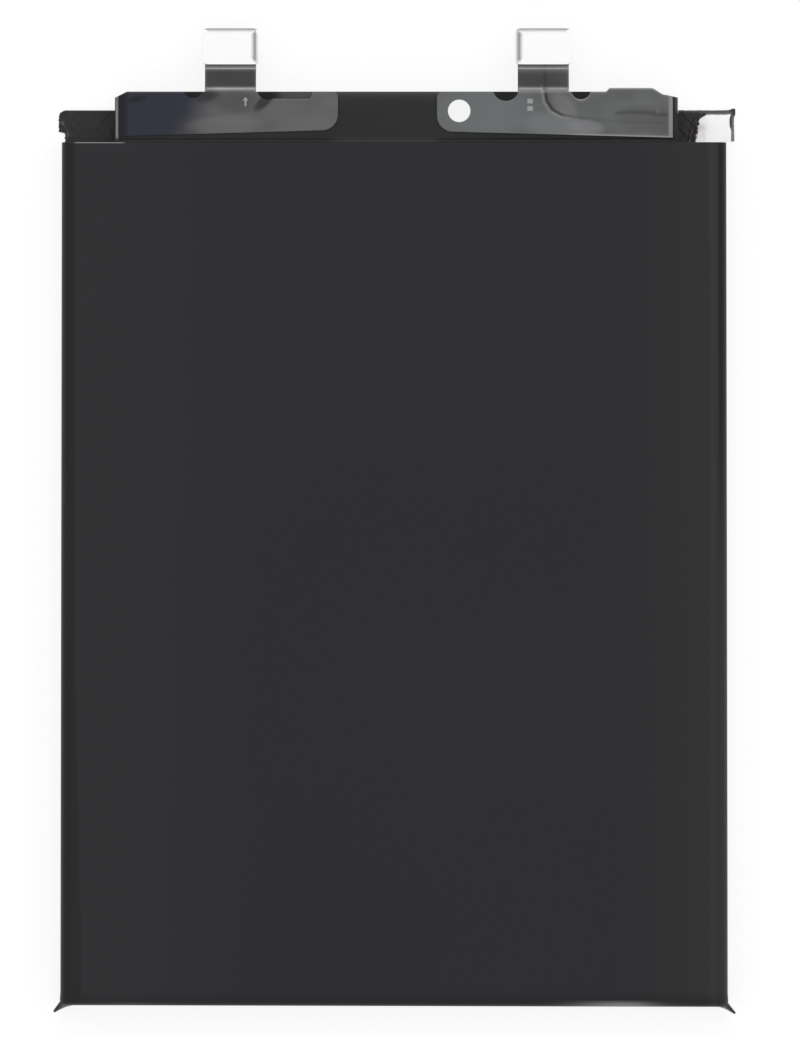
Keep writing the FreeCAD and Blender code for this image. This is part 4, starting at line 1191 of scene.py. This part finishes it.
# Right strip: painted shade along a groove from the middle of the tail that bends away to the right, with a
# painted highlight on a ridge beside it, along a track that carries on from it and along a shorter line
# above; a small pad with a painted highlight, and pale edges on the right half
def rightLines(x, y):
    look = rightFlex
    padX, padY = look["pad"]
    pad = 1 - smooth(np.maximum(np.abs(x - padX), 0.5 * np.abs(y - padY)), *look["padSoft"])
    fade, tailFade = (1 - share * smooth(at, *run) for at, (share, run) in zip((x, y), look["grooveFade"]))
    dark = line(x, y, 1.0, look["grooveWide"], look["groove"]) * fade * tailFade
    dark = dark + line(x, y, *look["track"]) + line(x, y, *look["faint"])
    beside = np.array(look["groove"]) + look["ridgeOffset"]
    lit = line(x, y, 1.0, look["ridgeWide"], beside) * smooth(y, *look["ridgeEnd"]) * fade
    paleEdge = smooth(x, *look["paleFrom"]) * (1 - 0.5 * band(y, *look["paleGap"]))
    return dark, lit + look["padLight"] * pad, paleEdge


# A grid of columns across and rows along: the strip's rows lie between its two edges, and the columns within
# the tail's width carry on down the tail's path
def flexSurface(side, look, lines):
    low, high = reach(side + "_flex_circuit")
    plateLow, plateHigh = reach(side + "_stiffener")
    centre, half = (plateLow[0] + plateHigh[0]) / 2, flex["tailWidth"] / 2
    high[0] = high[0] + look["beyond"]
    inner, outer, towards = (high[0], low[0], -1) if side == "left" else (low[0], high[0], 1)
    notches = notchPlaces(centre, look)
    across = stripColumns(inner, towards, low, high, centre, notches)
    lower, upper = stripEdges(across, inner, outer, low[1], look, notches)
    share = (0.5 - 0.5 * np.cos(np.linspace(0.0, math.pi, 64)))[:, None]
    x = across + 0 * share
    y = lower + (upper - lower) * share
    onTail = np.abs(across - centre) < half + 1e-6
    rim = np.minimum(y - lower, np.where(onTail, np.inf, upper - y))
    rim = np.minimum(rim, np.minimum(x - low[0], high[0] - x))
    along, height = tailPath(headerEdge(centre), high[1], high[2])
    tailX, tailY = np.meshgrid(across, along[1:])
    rim = np.concatenate([rim, np.maximum(half - np.abs(tailX - centre), 0.0)])
    x, y = np.concatenate([x, tailX]), np.concatenate([y, tailY])
    z = np.concatenate([0 * share * across + high[2], height[1:, None] + 0 * across])
    groove, ridge, paleEdge = lines(x, y)
    z = z - flex["edgeDrop"] * np.exp(-rim / flex["edgeWidth"])
    z = z + look["depth"] * (flex["ridgeTall"] * ridge - groove)
    pale = bell(rim, 0.0, flex["paleWidth"]) * paleEdge
    pale = np.maximum(pale, look["paleEnd"] * (1 - smooth(high[0] - x, *flex["endFade"])))
    landingFade = np.where(y < flex["landing"], look["landingLower"], flex["landingUpper"])
    # Painted highlights at the tail's upper bend and where it levels off under the plate
    crease = bell(y, *look["bend"]) + flex["landingLight"] * bell(y, flex["landing"], landingFade)
    crease = crease * (y > headerEdge(centre) - flex["bendBefore"]) * (np.abs(x - centre) <= half + 1e-6)
    # Painted highlights on the ridge and the bends, with the pale edges
    lit = np.clip(flex["ridgeLight"] * ridge + pale + flex["bendLight"] * crease, 0, 1)
    # Painted shade in the grooves and along the tracks
    dark = np.clip(groove, 0, 1) * flex["grooveDark"]
    keep = np.ones((len(x) - 1, len(across) - 1), bool)
    keep[len(share) - 1 :] = onTail[:-1] & onTail[1:]
    return gridSurface(x, y, z, keep=keep, groove=dark, ridge=lit)


circuits = (
    ("left", leftFlex, leftLines, "flex_coverlay"),
    ("right", rightFlex, rightLines, "right_coverlay"),
)
for side, look, lines, finish in circuits:
    surface, node = flexSurface(side, look, lines), side + "_flex_circuit"
    makePiece(side + "Flex", surface, "flex_coverlay", node, finish=finish, wall=flex["thick"], sheet=True)


# Bright plates: flat, with a rolled border on the outer end and on the side towards the other plate
plate = {
    "square": 14.0,
    "rolledFrom": (0.9, 0.99),
    "width": (0.07, 0.62),
    "drop": (0.05, 0.14),
    "endBorder": (0.1, 0.17),
    "sideBorder": (0.35, 0.25),
    "sideShade": 0.85,
}


# A rounded rectangle drawn in step by step: the border falls along a quarter ellipse, wide and deep on two
# sides and narrow on the others; the middle closes at its centre, above and below
def plateSurface(side):
    low, high = reach(side + "_stiffener")
    centre, half, square = (low + high) / 2, (high - low) / 2, plate["square"]
    turn = np.linspace(0.0, 2 * math.pi, 129)[:-1]
    out = (np.abs(np.cos(turn)) ** square + np.abs(np.sin(turn)) ** square) ** (-1 / square)
    unitX, unitY = np.cos(turn) * out, np.sin(turn) * out
    towards = 1 if side == "left" else -1
    endShare, sideShare = smooth(unitY, *plate["rolledFrom"]), smooth(unitX * towards, *plate["rolledFrom"])
    rolled = np.maximum(endShare, sideShare)
    width, drop = (plain + (wide - plain) * rolled for plain, wide in (plate["width"], plate["drop"]))
    arc = np.linspace(0.0, math.pi / 2, 22)[:, None]
    shrink = np.linspace(1.0, 0.0, 12)[1:, None]
    inward = width * (1 - np.cos(arc))
    flat, rim = 0 * shrink * turn, 0 * turn
    share = np.vstack([shrink[::-1], [[1.0]], 0 * arc + 1, shrink])
    inset = np.vstack([flat, rim, inward, flat + width])
    x, y = (centre[axis] + unit * (half[axis] - inset) * share for axis, unit in enumerate((unitX, unitY)))
    z = np.vstack([flat + low[2], rim + low[2], high[2] - drop + drop * np.sin(arc), flat + high[2]])
    # Painted shade on the rolled border, a little in from the outer end and the inner side
    endShade = endShare * bell(inward, *plate["endBorder"])
    sideShade = plate["sideShade"] * sideShare * bell(inward, *plate["sideBorder"])
    border = np.vstack([flat, rim, np.maximum(endShade, sideShade), flat])
    return gridSurface(x, y, z, ring=True, border=border)


for side in ("left", "right"):
    makePiece(side + "Plate", plateSurface(side), "bright_steel", side + "_stiffener")


# The white dot: a thin disc with a rounded rim
dot = {"rim": 0.03}


# Rings from the middle of the underside out to the rim and back in over the top
def dotSurface():
    low, high = reach("moisture_dot")
    centre, radius, rim = (low + high) / 2, (high[0] - low[0]) / 2, dot["rim"]
    turn = np.linspace(0.0, 2 * math.pi, 97)[:-1]
    arc = np.linspace(0.0, math.pi / 2, 7)
    out = np.linspace(0.0, radius - rim, 10)
    ring = np.concatenate([out, [radius], radius - rim * (1 - np.cos(arc)), out[-2::-1]])[:, None]
    rounded = high[2] - rim * (1 - np.sin(arc))
    height = np.concatenate([0 * out + low[2], [low[2]], rounded, 0 * out[1:] + high[2]])
    x, y = centre[0] + ring * np.cos(turn), centre[1] + ring * np.sin(turn)
    return gridSurface(x, y, height[:, None], ring=True)


makePiece("whiteDot", dotSurface(), "dot_paper", "moisture_dot")


# Stage: floor, lights and camera
stage = {
    "floorSize": 12.0,
    "floorHeight": -0.05,
    "floorColour": 0.21,
    "floorGlow": 0.83,
    "worldGlow": (0.5, 1.0),
    "worldSeen": (0.8, 1.0),
    "lens": 800.0,
    "frameHeight": 101.4,
    "frameCentre": (0.58, 5.4, 4.8),
}
softBoxes = {
    "keyBox": {"azimuth": 90.0, "elevation": 48.0, "distance": 0.9, "size": 0.3, "radiance": 2.8},
    "sideBox": {"azimuth": 25.0, "elevation": 52.0, "distance": 0.9, "size": 0.22, "radiance": 2.2},
}


# A square lamp that faces the origin
def areaLight(name, size, radiance, azimuth, elevation, distance):
    light = bpy.data.lights.new(name, "AREA")
    light.size = size
    light.energy = radiance * math.pi * size * size
    lamp = bpy.data.objects.new(name, light)
    turn, lift = math.radians(azimuth), math.radians(elevation)
    ground = distance * math.cos(lift)
    lamp.location = (ground * math.cos(turn), ground * math.sin(turn), distance * math.sin(lift))
    lamp.rotation_euler = (0, math.pi / 2 - lift, turn)
    bpy.context.scene.collection.objects.link(lamp)


for name, box in softBoxes.items():
    areaLight(name, **box)

floorMesh = bpy.data.meshes.new("floor")
half, level = stage["floorSize"] / 2, stage["floorHeight"] * mm
floorCorners = [(-half, -half, level), (half, -half, level), (half, half, level), (-half, half, level)]
floorMesh.from_pydata(floorCorners, [], [(0, 1, 2, 3)])
floor = bpy.data.objects.new("floor", floorMesh)
bpy.context.scene.collection.objects.link(floor)
paleFloor = Finish("paleFloor", Specular_IOR_Level=0.0, Roughness=1.0)
grey = stage["floorColour"]
mottle = paleFloor.clouds(0.01, detail=2.0)
paleFloor.feed("Base Color", paleFloor.blend(mottle, (grey,) * 3, (grey * 1.03,) * 3))
strength = paleFloor.seen() * stage["floorGlow"]
glow = paleFloor.node("ShaderNodeEmission", {}, {"Color": (1, 1, 1, 1), "Strength": strength})
both = paleFloor.node("ShaderNodeAddShader", {}, {0: Flow(paleFloor, paleFloor.shader.outputs[0]), 1: glow})
paleFloor.tree.links.new(both.socket, paleFloor.tree.nodes["Material Output"].inputs["Surface"])
floorMesh.materials.append(paleFloor.material)

# A pale studio all round, brighter overhead than at the horizon
world = bpy.data.worlds.new("studio")
bpy.context.scene.world = world
world.use_nodes = True
studio = NodeTree(world.node_tree)
heading = studio.node("ShaderNodeTexCoord", output="Generated")
up = studio.node("ShaderNodeSeparateXYZ", {}, {0: heading}, output=2).most(0.0)
glows = [low + up * (high - low) for low, high in (stage["worldGlow"], stage["worldSeen"])]
strength = studio.node("ShaderNodeMix", {}, {0: studio.seen(), 2: glows[0], 3: glows[1]})
studio.tree.links.new(strength.socket, studio.tree.nodes["Background"].inputs["Strength"])
studio.tree.nodes["Background"].inputs["Color"].default_value = (1, 1, 1, 1)

camera = bpy.data.cameras.new("camera")
camera.lens = stage["lens"]
camera.clip_start = 0.01
camera.clip_end = 100.0
view = bpy.data.objects.new("camera", camera)
distance = stage["frameHeight"] * mm * stage["lens"] / camera.sensor_width
centreX, centreY, focusZ = (value * mm for value in stage["frameCentre"])
view.location = (centreX, centreY, focusZ + distance)
bpy.context.scene.collection.objects.link(view)
bpy.context.scene.camera = view
bpy.context.scene.view_settings.view_transform = "Standard"
print("stage set")
